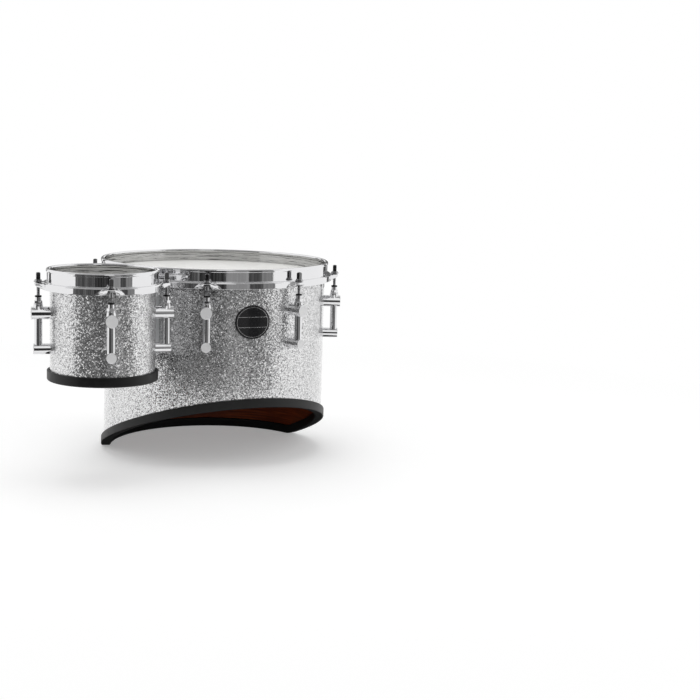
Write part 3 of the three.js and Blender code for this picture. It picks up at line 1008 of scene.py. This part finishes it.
@dataclass(frozen=True)
class CounterHoop:
    """The steel counterhoop: a rolled lip, a band, a shoulder and a skirt that is drawn out into ears."""

    drum: Drum
    # Finish of the band's inner wall: chrome darkened as painted shade.
    inside: PlatedMetal
    gauge: float = 2.3
    rim: float = 19.0
    band_standoff: float = 1.9
    lip_reach: float = 1.1
    lip_height: float = 4.6
    bead: float = 2.4
    bead_height: float = 4.8
    bead_foot: float = 6.4
    skirt_height: float = 10.2
    skirt_rows: tuple[float, ...] = (0.24, 0.34, 0.45, 0.56, 0.67, 0.78, 0.89)
    ear_top: float = 14.0
    ear_tip: float = 8.0
    ear_foot: float = 44.0
    ear_fold: float = 4.9
    ear_reach: float = 5.2
    ear_margin: float = 2.0
    ear_flare: float = 0.85
    tip_flare: float = 4.0
    ear_crown: float = 0.8
    hollow_tops: tuple[float, float] = (4.6, 5.6)
    hollow_foot: float = 8.2
    hollow_wall: float = 0.6
    ear_steps: int = 56
    plain_steps: int = 22
    rod_hole: float = 2.95
    crease: float = 40.0

    @property
    def band_outer(self) -> float:
        """Radius of the band's outside."""
        return self.drum.radius + self.band_standoff + self.gauge

    @property
    def skirt_inner(self) -> float:
        """Radius of the skirt's inside."""
        return self.drum.radius + FLESH_STANDOFF + FLESH_WIDTH + GAP

    @property
    def skirt_outer(self) -> float:
        """Radius of the skirt's outside."""
        return self.skirt_inner + self.gauge

    def reach(self, across: float, height: float, inset: float) -> float:
        """How far the skirt is drawn out past its own circle.

        Args:
            across: Distance from the ear's middle, along the hoop.
            height: Height of the point.
            inset: How far the surface lies inside the outer one.

        Returns:
            The distance outwards.
        """
        fall = min(max((HOOP_SHOULDER - height) / self.skirt_height, 0.0), 1.0)
        full = self.drum.radius + ROD_STANDOFF + self.ear_reach - self.skirt_outer - inset
        level = self.ear_fold / self.skirt_height
        length = full * (1 - max(fall - level, 0.0) / (1 - level))
        foot = self.ear_top / 2 + (self.ear_foot - self.ear_top) / 2 * fall ** self.ear_flare
        tip = self.ear_tip / 2 + self.tip_flare * fall
        share = min(max((foot - across - inset * 0.7) / (foot - tip), 0.0), 1.0)
        return max(length, 0.0) * share ** self.ear_crown

    def draw_out(self, vert: BMVert) -> None:
        """Moves one point of the plain hoop out where an ear is drawn.

        Args:
            vert: The point.
        """
        distance = math.hypot(vert.co.x, vert.co.y)
        if distance <= self.band_outer + FIT or vert.co.z > HOOP_SHOULDER + FIT:
            return
        angle = math.degrees(math.atan2(vert.co.x, -vert.co.y))
        pitch = 360 / self.drum.lugs
        off = (angle - self.drum.first_lug + pitch / 2) % pitch - pitch / 2
        across = abs(distance * math.sin(math.radians(off)))
        middle, under = self.skirt_inner + self.gauge * 0.4, HOOP_SHOULDER - self.gauge * 0.6
        outside = distance > middle or vert.co.z > under
        inset, edge = (0.0, self.skirt_outer) if outside else (self.gauge, self.skirt_inner)
        share = min(max((distance - self.band_outer) / (edge - self.band_outer), 0.0), 1.0)
        move = self.reach(across, vert.co.z, inset) * share
        direction = math.radians(angle - off)
        vert.co.x += move * math.sin(direction)
        vert.co.y -= move * math.cos(direction)

    def profile(self) -> list[Corner]:
        """Draws the hoop's section.

        Returns:
            Its corners, from the shoulder's underside up the band and down the skirt.
        """
        band, skirt, inner = self.band_outer, self.skirt_outer, self.skirt_inner
        band_inner, lip, lip_low = band - self.gauge, band + self.lip_reach, self.rim - self.lip_height
        bead = band_inner - self.bead
        under = HOOP_SHOULDER - self.gauge
        low = HOOP_SHOULDER - self.skirt_height
        heights = [HOOP_SHOULDER - self.skirt_height * row for row in self.skirt_rows]
        width = skirt - band
        return [
            (band_inner, under, 0.9), (band_inner, self.rim - self.bead_foot, 1.2),
            (bead, self.rim - self.bead_height, 1.2), (bead, self.rim, 2.2),
            (lip, self.rim, 2.3), (lip, lip_low, 0.7), (band, lip_low, 0.4), (band, HOOP_SHOULDER, 1.0),
            (band + width * 0.45, HOOP_SHOULDER, 0), (band + width * 0.65, HOOP_SHOULDER, 0),
            (skirt, HOOP_SHOULDER, 2.6), *[(skirt, height, 0) for height in heights],
            (skirt, low, 0.5), (inner, low, 0.5),
            *[(inner, height, 0) for height in reversed(heights) if height < under - 0.9],
            (inner, under, 0.7), (band + width * 0.2, under, 0),
        ]

    def build(self) -> None:
        """Makes the hoop with its ears, open below and holed for the rods."""
        drum, shoulder = self.drum, HOOP_SHOULDER
        span = math.radians(360 / drum.lugs)
        ear_span = 2 * (self.ear_foot / 2 + self.ear_margin) / self.skirt_outer
        sectors = ((ear_span, self.ear_steps), (span - ear_span, self.plain_steps))
        bm = bmesh.new()
        draw_outline(bm, self.profile())
        moved(bm, Matrix.Rotation(math.radians(drum.first_lug) - QUARTER - ear_span / 2, 4, "Z"))
        swept(bm, sectors * drum.lugs)
        for vert in bm.verts:
            self.draw_out(vert)
        fold_inside = drum.radius + ROD_STANDOFF + self.ear_reach - self.gauge
        wide = self.wedge(fold_inside, shoulder - self.gauge, self.hollow_tops[0])
        open_front = self.wedge(self.skirt_outer + 4 * PAST, shoulder - self.ear_fold, self.hollow_tops[1])
        for cutter in (wide, open_front, shifted(bar(self.rod_hole, -PAST, 2.0), drum.rod_axis)):
            cutters = [moved(cutter.copy(), station(angle)) for angle in drum.lug_angles()]
            cutter.free()
            bm = combined(bm, gathered(cutters), Cut.TAKE_AWAY)
        top, wall = self.rim - self.bead, self.band_outer - self.gauge / 2
        # The band's inner wall takes the second finish, the darker chrome that paints in shade.
        second_finish(bm, lambda spot: shoulder < spot.z < top and math.hypot(spot.x, spot.y) < wall)
        drum.add(bm, "counterhoop", drum.hoop_body, [CHROME, self.inside], "hoop", self.crease)

    def wedge(self, reach: float, top: float, half: float) -> BMesh:
        """Makes a wedge that opens an ear from below.

        Args:
            reach: How far out it goes.
            top: How high it goes.
            half: Half its width at the top.

        Returns:
            The cutter, in the ear's frame.
        """
        low = HOOP_SHOULDER - self.skirt_height - 2.0
        made = block((self.skirt_outer - self.hollow_wall, -1, low), (reach, 1, top))
        for vert in made.verts:
            vert.co.y *= half if vert.co.z > low + 1 else self.hollow_foot
        return made


@dataclass(frozen=True)
class TubeLug:
    """A lug of two posts and a tube, with its nut, lock ring, tension rod and inner screws."""

    drum: Drum
    number: int
    angle: float
    upper_radius: float = 9.25
    upper_length: float = 26.5
    lower_radius: float = 7.75
    lower_length: float = 23.2
    post_sink: float = 0.6
    dish_rim: float = 0.9
    dish_depth: float = 0.3
    tube_radius: float = 5.7
    boss_radius: float = 8.4
    boss_top: float = 6.4
    boss_high: float = UPPER_POST + 13.2
    bore: float = 3.25
    bore_depth: float = 18.0
    nut_radius: float = 6.3
    nut_height: float = 4.6
    flange_height: float = 1.3
    nut_chamfer: float = 0.9
    neck_radius: float = 4.4
    neck_height: float = 5.2
    ring_radius: float = 4.9
    ring_height: float = 2.4
    rod_radius: float = 2.45
    rod_reach: float = 10.0
    rod_play: float = 0.4
    thread_pitch: float = 1.058
    thread_depth: float = 0.45
    thread_top: float = -13.0
    washer_radius: float = 6.4
    washer_height: float = 1.4
    collar_radius: float = 5.2
    collar_height: float = 2.0
    key_width: float = 6.0
    key_height: float = 10.4
    key_round: float = 0.7
    screw_radius: float = 4.6
    screw_shank: float = 2.4
    screw_washer: float = 7.4
    screw_slot: float = 0.6
    screw_washer_height: float = 1.2

    def build(self) -> None:
        """Makes every piece of the lug."""
        name, axis = self.drum.name, self.drum.rod_axis
        rod_body = f"{name}_rod_{self.number}"
        place = station(self.angle, self.drum.centre)
        for solid, title, body, finishes, node in (
            (self.casting(), "tube_lug", BASE, [CHROME, CAP_CHROME], "lug"),
            (shifted(self.nut(), axis), "rod_nut", BASE, [CHROME], "nut"),
            (shifted(self.lock_ring(), axis), "lock_ring", BASE, [LOCK_RUBBER], ""),
            (shifted(self.rod(), axis), "key_rod", rod_body, [STEEL, HEAD_STEEL], "rod"),
            (laid(self.screw(), UPPER_POST), "lug_screw_upper", BASE, [STEEL], ""),
            (laid(self.screw(), LOWER_POST), "lug_screw_lower", BASE, [STEEL], ""),
        ):
            nodes = [f"{name}_{node}_{self.number}"] if node else []
            add_piece(solid, f"{name}_{title}_{self.number}", body, finishes, nodes, place)

    def post(self, radius: float, length: float, height: float) -> BMesh:
        """A post along X with a shallow dish in its end.

        Args:
            radius: The post's radius.
            length: Covering to the post's end.
            height: Height of its axis.

        Returns:
            The solid.
        """
        start, end = self.drum.radius - self.post_sink, self.drum.radius + length
        dish = radius - self.dish_rim
        solid = turned([
            (0, start, 0), (radius, start, 0), (radius, end, 0.5),
            (dish, end, 0.15), (dish - 0.2, end - self.dish_depth, 0.1), (0, end - 0.2, 0),
        ], 56)
        return laid(solid, height)

    def casting(self) -> BMesh:
        """Makes the posts, the tube and the boss in one piece.

        Returns:
            The solid, with its turned end caps as its second finish.
        """
        posts = (
            (self.upper_radius, self.upper_length, UPPER_POST),
            (self.lower_radius, self.lower_length, LOWER_POST),
        )
        stand = turned([
            (0, LOWER_POST, 0), (self.tube_radius, LOWER_POST, 0), (self.tube_radius, UPPER_POST, 0),
            (self.boss_radius, UPPER_POST, 0), (self.boss_top, self.boss_high, 0.8), (0, self.boss_high, 0),
        ])
        body = joined(*(self.post(*post) for post in posts), shifted(stand, self.drum.rod_axis))
        bore = bar(self.bore, UPPER_POST - self.bore_depth, self.boss_high + 2)
        body = combined(body, shifted(bore, self.drum.rod_axis), Cut.TAKE_AWAY)
        for radius, length, height in posts:
            inner, rim = self.drum.radius + length - 2 * self.dish_depth, radius - 0.5
            second_finish(body, lambda spot: spot.x > inner and math.hypot(spot.y, spot.z - height) < rim)
        return body

    def nut(self) -> BMesh:
        """Makes the rod nut: a hexagon on a flange, with a neck above.

        Returns:
            The solid, round Z.
        """
        seat = self.boss_high + GAP / 3
        neck = seat + GAP + self.nut_height
        top = neck + self.neck_height
        body = joined(
            bar(self.nut_radius, seat, seat + self.flange_height, 0.4, 40),
            hexagon(self.nut_radius, seat + 0.4, neck, self.nut_chamfer),
            bar(self.neck_radius, neck - 1.0, top, 0.3, 40),
        )
        return combined(body, bar(self.rod_radius + self.rod_play, seat - 1, top + 1), Cut.TAKE_AWAY)

    def lock_ring(self) -> BMesh:
        """The black ring round Z that keeps the rod from working loose."""
        low = self.boss_high + GAP + self.nut_height + self.neck_height
        return tube(self.rod_radius + 0.15, self.ring_radius, low, low + self.ring_height, 0.7)

    def rod(self) -> BMesh:
        """Makes the tension rod with its thread, washer, collar and square head.

        Returns:
            The solid, round Z, with its head as its second finish.
        """
        radius, pitch = self.rod_radius, self.thread_pitch
        washer, collar = self.washer_radius, self.collar_radius
        seat = HOOP_SHOULDER + GAP / 3
        washer_top = HOOP_SHOULDER + GAP + self.washer_height
        collar_top = washer_top + self.collar_height
        tip = UPPER_POST - self.rod_reach
        root = radius - self.thread_depth
        corners: list[Corner] = [(0, tip, 0), (root - 0.5, tip, 0)]
        for turn in range(int((self.thread_top - tip) / pitch)):
            height = tip + 0.6 + turn * pitch
            corners += [(root, height, 0), (radius, height + pitch / 2, 0)]
        corners += [
            (root, self.thread_top + 0.3, 0), (radius, self.thread_top + 0.9, 0), (radius, seat, 0),
            (washer, seat, 0.3), (washer, washer_top, 0.4), (collar, washer_top, 0),
            (collar, collar_top, 0.8), (0, collar_top, 0),
        ]
        half, top, low = self.key_width / 2, collar_top + self.key_height, washer_top - 1
        key = block((-half, -half, washer_top), (half, half, top), self.key_round)
        crown = turned([
            (0, low, 0), (half * 1.6, low, 0), (half * 1.6, top - 2.6, 0),
            (half * 0.8, top, 1.2), (0, top, 0),
        ], 40)
        solid = combined(turned(corners, 24), combined(key, crown, Cut.KEEP_COMMON), Cut.JOIN)
        return second_finish(solid, lambda spot: spot.z > collar_top + FIT)

    def screw(self) -> BMesh:
        """Makes a lug screw with its washer inside the shell.

        Returns:
            The solid, along Z.
        """
        radius, slot, shank = self.screw_radius, self.screw_slot, self.screw_shank
        seat = self.drum.seat_inside(self.screw_washer)
        face = seat - self.screw_washer_height
        low, high = face - 4, face - 1.5
        head = turned([
            (0, face - 2.9, 0), (2.2, face - 2.8, 0.6), (radius, face - 1.4, 0.8),
            (radius, face + 0.4, 0), (0, face + 0.4, 0),
        ], 32)
        upright = block((-slot, -shank, low), (slot, shank, high))
        cross = joined(upright, block((-shank, -slot, low), (shank, slot, high)))
        head = combined(head, cross, Cut.TAKE_AWAY)
        washer = bar(self.screw_washer, face, seat, 0.35, 40)
        return joined(head, washer, bar(shank, face, self.drum.shell_inner + 3.0, 0.0, 20))


@dataclass(frozen=True)
class Badge:
    """A plain oval plate with a bare rim, bent to the covering."""

    drum: Drum
    angle: float = 19.5
    drop: float = 62.0
    width: float = 56.0
    height: float = 52.0
    thickness: float = 1.4
    field_depth: float = 0.25
    line_levels: tuple[float, float] = (-0.30, 0.30)
    line_half: float = 0.35
    crease: float = 60.0

    def oval(self, corners: Sequence[Corner]) -> BMesh:
        """Turns an outline whose distances are shares of the oval's half width.

        Args:
            corners: The outline, with heights in millimetres off the covering.

        Returns:
            The oval, in the YZ plane at the badge's height.
        """
        solid = turned(corners, 96)
        bmesh.ops.scale(solid, vec=(self.height / 2, self.width / 2, 1.0), verts=solid.verts[:])
        return laid(solid, -self.drop)

    def add(self, bm: BMesh, title: str, finish: Finish, replaces: Sequence[str]) -> None:
        """Bends a flat piece round the covering and adds it.

        Args:
            bm: The piece in the YZ plane, its thickness along X.
            title: What it is.
            finish: Its finish.
            replaces: The nodes that it stands for.
        """
        for vert in bm.verts:
            turn, distance = vert.co.y / self.drum.radius, self.drum.radius + vert.co.x
            vert.co.x, vert.co.y = distance * math.cos(turn), distance * math.sin(turn)
        place = station(self.angle, self.drum.centre)
        add_piece(bm, f"{self.drum.name}_{title}", BASE, [finish], replaces, place, self.crease)

    def build(self) -> None:
        """Makes the plate and its silver lines."""
        top = GAP + self.thickness
        face = top - self.field_depth
        self.add(self.oval([
            (0, 0.1, 0), (0.3, 0.1, 0), (0.6, 0.1, 0), (0.97, 0.1, 0), (1.0, 0.3, 0), (1.0, top - 0.4, 0),
            (0.985, top - 0.1, 0), (0.965, top, 0), (0.94, top - 0.06, 0), (0.925, face, 0),
            *[(share, face, 0) for share in (0.8, 0.6, 0.4, 0.2, 0)],
        ]), "name_plate", ENAMEL, ["large_badge"])
        parts = [self.oval([
            (0.865, top - 0.4, 0), (0.895, top - 0.4, 0), (0.893, top - 0.05, 0),
            (0.880, top, 0), (0.867, top - 0.05, 0),
        ])]
        for level in self.line_levels:
            half = 0.86 * self.width / 2 * math.sqrt(1 - (level / 0.88) ** 2)
            line = block((top - 0.4, -half, -self.line_half), (top - 0.03, half, self.line_half), 0.1)
            parts.append(shifted(sliced(line, 1, half), z=level * self.height / 2 - self.drop))
        self.add(gathered(parts), "plate_lines", BADGE_LINE, [])


@dataclass(frozen=True)
class ShellSpacer:
    """The waisted block between the drums and the two bolts through it."""

    width: float = 34.0
    waist: float = 7.0
    bite: float = 4.0
    top: float = -26.0
    bottom: float = -110.7
    bolt_inset: float = 14.0
    bolt_radius: float = 3.9
    hex_radius: float = 7.5
    hex_height: float = 5.5
    hex_chamfer: float = 1.1
    washer_radius: float = 9.0
    washer_height: float = 1.6
    tail: float = 3.0

    def build(self) -> None:
        """Makes the spacer, its bolts and nuts."""
        place = station(PAIR_ANGLE)
        add_piece(self.spacer(), "drum_spacer", BASE, [SATIN_ALLOY], ["shell_spacer"], place)
        heights = {"upper": self.top - self.bolt_inset, "lower": self.bottom + self.bolt_inset}
        for title, height in heights.items():
            for kind, solid in (("bolt", self.bolt()), ("nut", self.nut())):
                name, node = f"pair_{kind}_{title}", f"spacer_{kind}_{title}"
                add_piece(laid(solid, height), name, BASE, [STEEL], [node], place)

    def spacer(self) -> BMesh:
        """Makes the block, hollowed to both drums and drawn in at its sides.

        Returns:
            The solid.
        """
        start, end = LARGE.radius - self.bite, PAIR_SPAN - SMALL.radius + self.bite
        middle, half = (start + end) / 2, self.width / 2
        body = sliced(block((start, -half, self.bottom), (end, half, self.top)), 0, 1)
        for vert in body.verts:
            share = (vert.co.x - middle) / (end - middle)
            vert.co.y *= 1 - self.waist / half * (1 - share * share)
        for centre, drum in ((0.0, LARGE), (PAIR_SPAN, SMALL)):
            saddle = bar(drum.radius + FIT, self.bottom - PAST, self.top + PAST, 0.0, 256)
            body = combined(body, shifted(saddle, centre), Cut.TAKE_AWAY)
        return soften(body, 0.9, 30.0)

    def bolt(self) -> BMesh:
        """Makes a bolt along Z, its head in the small drum.

        Returns:
            The solid.
        """
        nut_face = LARGE.seat_inside(self.washer_radius) - self.washer_height
        head = PAIR_SPAN - SMALL.seat_inside(self.washer_radius)
        cap = head + self.washer_height
        return joined(
            bar(self.bolt_radius, nut_face - self.hex_height - self.tail, head + 1, 0.7, 32),
            bar(self.washer_radius, head, cap, 0.4, 48),
            hexagon(self.hex_radius, cap - 0.5, cap + self.hex_height, self.hex_chamfer),
        )

    def nut(self) -> BMesh:
        """Makes a nut along Z with its washer, inside the large drum.

        Returns:
            The solid.
        """
        seat = LARGE.seat_inside(self.washer_radius)
        face = seat - self.washer_height
        body = joined(
            bar(self.washer_radius, face, seat, 0.4, 48),
            hexagon(self.hex_radius, face - self.hex_height, face + 0.5, self.hex_chamfer),
        )
        return combined(body, bar(self.bolt_radius + 0.2, face - 2 * PAST, seat + PAST), Cut.TAKE_AWAY)


@dataclass(frozen=True)
class CarrierBracket:
    """The bracket on the player's side with its two rod sleeves and its screws."""

    angle: float = 199.5
    width: float = 88.0
    height: float = 90.0
    thickness: float = 3.5
    plate_corner: float = 14.0
    top: float = -70.0
    sleeve_spacing: float = 62.0
    sleeve_standoff: float = 19.0
    sleeve_radius: float = 12.0
    sleeve_bore: float = 8.3
    sleeve_height: float = 66.0
    rib_width: float = 12.0
    boss_length: float = 9.0
    boss_radius: float = 8.0
    screw_inset: float = 18.0
    screw_radius: float = 2.9
    head_radius: float = 6.0
    head_height: float = 4.0
    key_socket: float = 2.6
    key_depth: float = 2.2
    end_reach: float = 1.2
    clamp_boss: float = 6.5
    clamp_boss_length: float = 4.0
    clamp_head: float = 6.5
    clamp_head_height: float = 5.0
    clamp_stem: float = 3.0

    @property
    def middle(self) -> float:
        """Height of the bracket's middle."""
        return self.top - self.height / 2

    @property
    def across(self) -> float:
        """Distance of the sleeves from the drum's axis."""
        return LARGE.radius + self.sleeve_standoff

    def screw_heights(self) -> list[tuple[str, float]]:
        """Returns the shell screws' names and heights."""
        return [("upper", self.top - self.screw_inset), ("lower", self.top - self.height + self.screw_inset)]

    def build(self) -> None:
        """Makes the bracket and its screws."""
        half = self.sleeve_spacing / 2
        pieces = [(self.bracket(), "rod_bracket", SATIN_ALLOY, "carrier_bracket")]
        for title, height in self.screw_heights():
            screw = laid(self.shell_screw(), height)
            pieces.append((screw, f"shell_screw_{title}", STEEL, f"bracket_screw_{title}"))
        for title, side in (("left", -half), ("right", half)):
            screw = laid(self.clamp_screw(), self.middle, side)
            pieces.append((screw, f"clamp_screw_{title}", STEEL, f"receiver_screw_{title}"))
        for solid, name, finish, node in pieces:
            add_piece(solid, name, BASE, [finish], [node], station(self.angle))

    def bracket(self) -> BMesh:
        """Makes the plate with its sleeves, ribs and bosses.

        Returns:
            The solid.
        """
        low, across = self.top - self.height, self.across
        half, rib_half = self.width / 2, self.rib_width / 2
        hollow, face = LARGE.radius + FIT, LARGE.radius + GAP + self.thickness
        plate = tube(hollow, face, low, self.top, 0.0, LARGE.steps)
        frame = block((100, -half, low), (across, half, self.top))
        bevelled(frame, edges_along(frame, 0, 1), self.plate_corner, 10)
        body = combined(plate, frame, Cut.KEEP_COMMON)
        bottom, top = self.middle - self.sleeve_height / 2, self.middle + self.sleeve_height / 2
        sides = (-self.sleeve_spacing / 2, self.sleeve_spacing / 2)
        clamp_end = across + self.sleeve_radius + self.clamp_boss_length
        for side in sides:
            rib = block((face - 2.5 * self.thickness, -rib_half, bottom + 2), (across, rib_half, top - 2))
            boss = bar(self.clamp_boss, across, clamp_end, 0.6, 40)
            sleeve = bar(self.sleeve_radius, bottom, top, 1.2, 64)
            boss, sleeve = laid(boss, self.middle, side), shifted(sleeve, across, side)
            body = joined(body, shifted(rib, y=side), boss, sleeve)
        for _, height in self.screw_heights():
            boss = bar(self.boss_radius, LARGE.radius + 1, face + self.boss_length, 0.8, 40)
            body = joined(body, laid(boss, height))
        body = combined(body, bar(hollow, low - PAST, self.top + PAST, 0.0, LARGE.steps), Cut.TAKE_AWAY)
        for side in sides:
            bore = bar(self.sleeve_bore, bottom - PAST, top + PAST, 0.0, 64)
            body = combined(body, shifted(bore, across, side), Cut.TAKE_AWAY)
        return soften(body, 0.5, 38.0)

    def shell_screw(self) -> BMesh:
        """Makes a screw along Z whose domed head lies inside the shell.

        Returns:
            The solid.
        """
        radius, seat = self.head_radius, LARGE.seat_inside(self.head_radius)
        low = seat - self.head_height
        head = turned([
            (0, low, 0), (radius * 0.55, low, 1.0), (radius, low + 1.9, 1.0),
            (radius, seat, 0.2), (0, seat, 0),
        ], 40)
        head = combined(head, hexagon(self.key_socket, low - 1, low + self.key_depth, 0.1), Cut.TAKE_AWAY)
        end = LARGE.radius + self.thickness + self.boss_length + GAP + self.end_reach
        return joined(head, bar(self.screw_radius, seat - 1, end, 0.6, 32))

    def clamp_screw(self) -> BMesh:
        """Makes a clamp screw along Z with its hexagonal head outside the sleeve.

        Returns:
            The solid.
        """
        head = self.across + self.sleeve_radius + self.clamp_boss_length + self.clamp_stem
        return joined(
            bar(self.screw_radius, self.across + self.sleeve_bore, head + 1, 0.5, 32),
            hexagon(self.clamp_head, head, head + self.clamp_head_height, 1.0),
        )


# ---- The studio ----

WHITE = (1.0, 1.0, 1.0, 1.0)
PAPER = (0.80, 0.80, 0.80)
BLACK = (0.0, 0.0, 0.0)


@dataclass(frozen=True)
class Softbox:
    """A rectangular light that faces the drums, with its radiance."""

    name: str
    angle: float
    height: float
    distance: float
    width: float
    tall: float
    radiance: float

    def build(self, target: Vector) -> None:
        """Adds the light.

        Args:
            target: The point that it is aimed at.
        """
        data = bpy.data.lights.new(self.name, "AREA")
        data.shape = "RECTANGLE"
        data.size, data.size_y = self.width, self.tall
        data.energy = self.radiance * math.pi * self.width * self.tall
        turn = math.radians(self.angle)
        place = Vector((math.sin(turn) * self.distance, -math.cos(turn) * self.distance, self.height))
        light = put(self.name, data)
        light.visible_glossy = False
        aim = (target - place).to_track_quat("-Z", "Y")
        light.matrix_world = Matrix.Translation(place) @ aim.to_matrix().to_4x4()


@dataclass(frozen=True)
class Card:
    """A grey card that only polished surfaces see: an upright outline swept round part of the studio."""

    name: str
    start: float
    end: float
    outline: tuple[tuple[float, float], ...]
    tone: float
    streak: float = 0.0
    steps: int = 24
    folds: float = 22.0

    def build(self) -> None:
        """Adds the card as a part of the stage."""
        bm = bmesh.new()
        verts = [bm.verts.new((distance, 0.0, height)) for distance, height in self.outline]
        edges = [bm.edges.new(pair) for pair in zip(verts, verts[1:])]
        moved(bm, Matrix.Rotation(math.radians(self.start) - QUARTER, 4, "Z"))
        spun(bm, verts + edges, math.radians(self.end - self.start), self.steps)
        graph = Graph(bpy.data.materials.new(self.name))
        folds = graph.grain(graph.around((0.0, 0.0, 0.0), 1.0), (self.folds, 0.0, 0.0))
        graph.dress(
            roughness=1.0, specular_ior_level=0.0, base_color=(*BLACK, 1.0), emission_color=WHITE,
            emission_strength=graph.spread(folds, 0.45, 0.72, self.tone, self.tone + self.streak),
        )
        card = solid_object(bm, self.name, graph.owner)
        card.visible_camera = card.visible_diffuse = card.visible_shadow = False
        card.visible_transmission = card.visible_volume_scatter = False
        card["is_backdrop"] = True


class Studio:
    """The white floor and surround, the lights, the cards and the camera."""

    floor_gap = 0.3 * MM
    floor_radius = 30.0
    floor_glow = 0.30  # of white at the drums, rising to white further out
    surround = 0.50
    lens = 76.55
    eye = (0.0193, -2.4196, 0.238)
    pitch, pan, roll = 8.593, 4.768, 0.937
    softboxes = (
        Softbox("left softbox", -75.0, 0.75, 1.7, 0.9, 1.3, 1.9),
        Softbox("right softbox", 75.0, 0.75, 1.7, 0.9, 1.3, 1.9),
        Softbox("overhead softbox", 0.0, 1.9, 0.3, 1.5, 1.5, 1.8),
        Softbox("rear softbox", 180.0, 1.2, 1.6, 1.4, 0.7, 1.4),
    )
    front_wall = ((0.60, -0.28), (2.5, -0.28), (2.5, 0.85))
    side_wall = ((2.4, -0.28), (2.4, 0.75))
    ceiling = ((0.02, 1.7), (1.0, 1.7))
    upper_wall = ((2.5, 0.86), (1.1, 1.69))
    ground = ((0.02, -0.2922), (0.22, -0.2922))
    cards = (
        Card("left front card", -50.0, -14.0, front_wall, 0.05, 0.20),
        Card("near front card", -14.0, 11.0, front_wall, 0.02, 0.08),
        Card("middle front card", 11.0, 33.0, front_wall, 0.26, 0.10),
        Card("right front card", 33.0, 46.0, front_wall, 0.06, 0.06),
        Card("far right front card", 46.0, 58.5, front_wall, 0.20, 0.10),
        Card("left edge card", -150.0, -141.0, side_wall, 0.10),
        Card("right edge card", 141.0, 150.0, side_wall, 0.10),
        Card("back card", 156.0, 176.0, side_wall, 0.08, 0.25),
        Card("far back card", 186.0, 204.0, side_wall, 0.20, 0.35),
        Card("ceiling card", 0.0, 360.0, ceiling, 0.34, 0.10),
        Card("floor card", 0.0, 360.0, ground, 0.05),
        Card("left upper card", -70.0, 2.0, upper_wall, 0.30, 0.20),
        Card("right upper card", 21.0, 70.0, upper_wall, 0.30, 0.20),
    )

    def build(self) -> None:
        """Makes the studio round the drums."""
        low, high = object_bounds()
        self.add_camera()
        self.add_surround()
        self.add_floor(low[2] - self.floor_gap)
        for softbox in self.softboxes:
            softbox.build((Vector(low) + Vector(high)) / 2)
        for card in self.cards:
            card.build()

    def add_camera(self) -> None:
        """Adds the camera at the photograph's place, panned so that the pair stands at the left."""
        data = bpy.data.cameras.new("camera")
        data.sensor_width, data.lens, data.clip_end = 36.0, self.lens, 100.0
        matrix = Matrix.Translation(self.eye) @ Matrix.Rotation(QUARTER, 4, "X")
        for angle, axis in ((-self.pitch, "X"), (-self.pan, "Y"), (self.roll, "Z")):
            matrix @= Matrix.Rotation(math.radians(angle), 4, axis)
        camera = put("camera", data)
        camera.matrix_world = matrix
        bpy.context.scene.camera = camera

    def add_surround(self) -> None:
        """Lights the scene from a white surround, which shows white to the camera and in metal."""
        world = bpy.data.worlds.new("surround")
        bpy.context.scene.world = world
        graph = Graph(world)
        seen = graph.seen_by("Camera", "Glossy", "Transmission")
        graph.dress(color=WHITE, strength=graph.spread(seen, 0.0, 1.0, self.surround, 1.0))

    def add_floor(self, height: float) -> None:
        """Adds the pale floor, which can be looked through from below.

        Args:
            height: Its height in metres.
        """
        bm = bmesh.new()
        bmesh.ops.create_circle(bm, cap_ends=True, segments=64, radius=self.floor_radius)
        graph = Graph(bpy.data.materials.new("floor_paper"))
        seen = graph.seen_by("Camera", "Glossy")
        glow = graph.spread(graph.vector("LENGTH", graph.place), 0.35, 1.3, self.floor_glow, 1.0)
        paper = graph.ramp(graph.spread(glow, self.floor_glow, 1.0), (0.0, PAPER), (1.0, BLACK))
        below = graph.node("NewGeometry").outputs["Backfacing"]
        graph.dress(
            roughness=0.9, specular_ior_level=0.0, base_color=graph.mix(seen, PAPER, paper),
            emission_color=WHITE, emission_strength=graph.times(seen, glow),
            alpha=graph.math("SUBTRACT", 1.0, below),
        )
        floor = solid_object(shifted(bm, z=height), "floor", graph.owner)
        floor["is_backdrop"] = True


def build_drum(drum: Drum, inside: PlatedMetal) -> None:
    """Makes one drum with its head, hoop and lugs.

    Args:
        drum: The drum.
        inside: The finish inside its counterhoop, chrome with a darker base colour as painted shade.
    """
    DrumShell(drum).build()
    Head(drum).build()
    CounterHoop(drum, inside).build()
    for number, angle in enumerate(drum.lug_angles(), start=1):
        TubeLug(drum, number, angle).build()


def main() -> None:
    """Builds the pair of drums and the studio round it."""
    logging.basicConfig(level=logging.INFO, format="%(name)s %(message)s")
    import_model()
    bpy.context.scene.view_settings.view_transform = "Standard"
    Studio().build()
    build_drum(LARGE, INNER_CHROME_PAINTED_SHADE)
    build_drum(SMALL, SMALL_INNER_PAINTED_SHADE)
    Badge(LARGE).build()
    ShellSpacer().build()
    CarrierBracket().build()


if __name__ == "__main__":
    main()
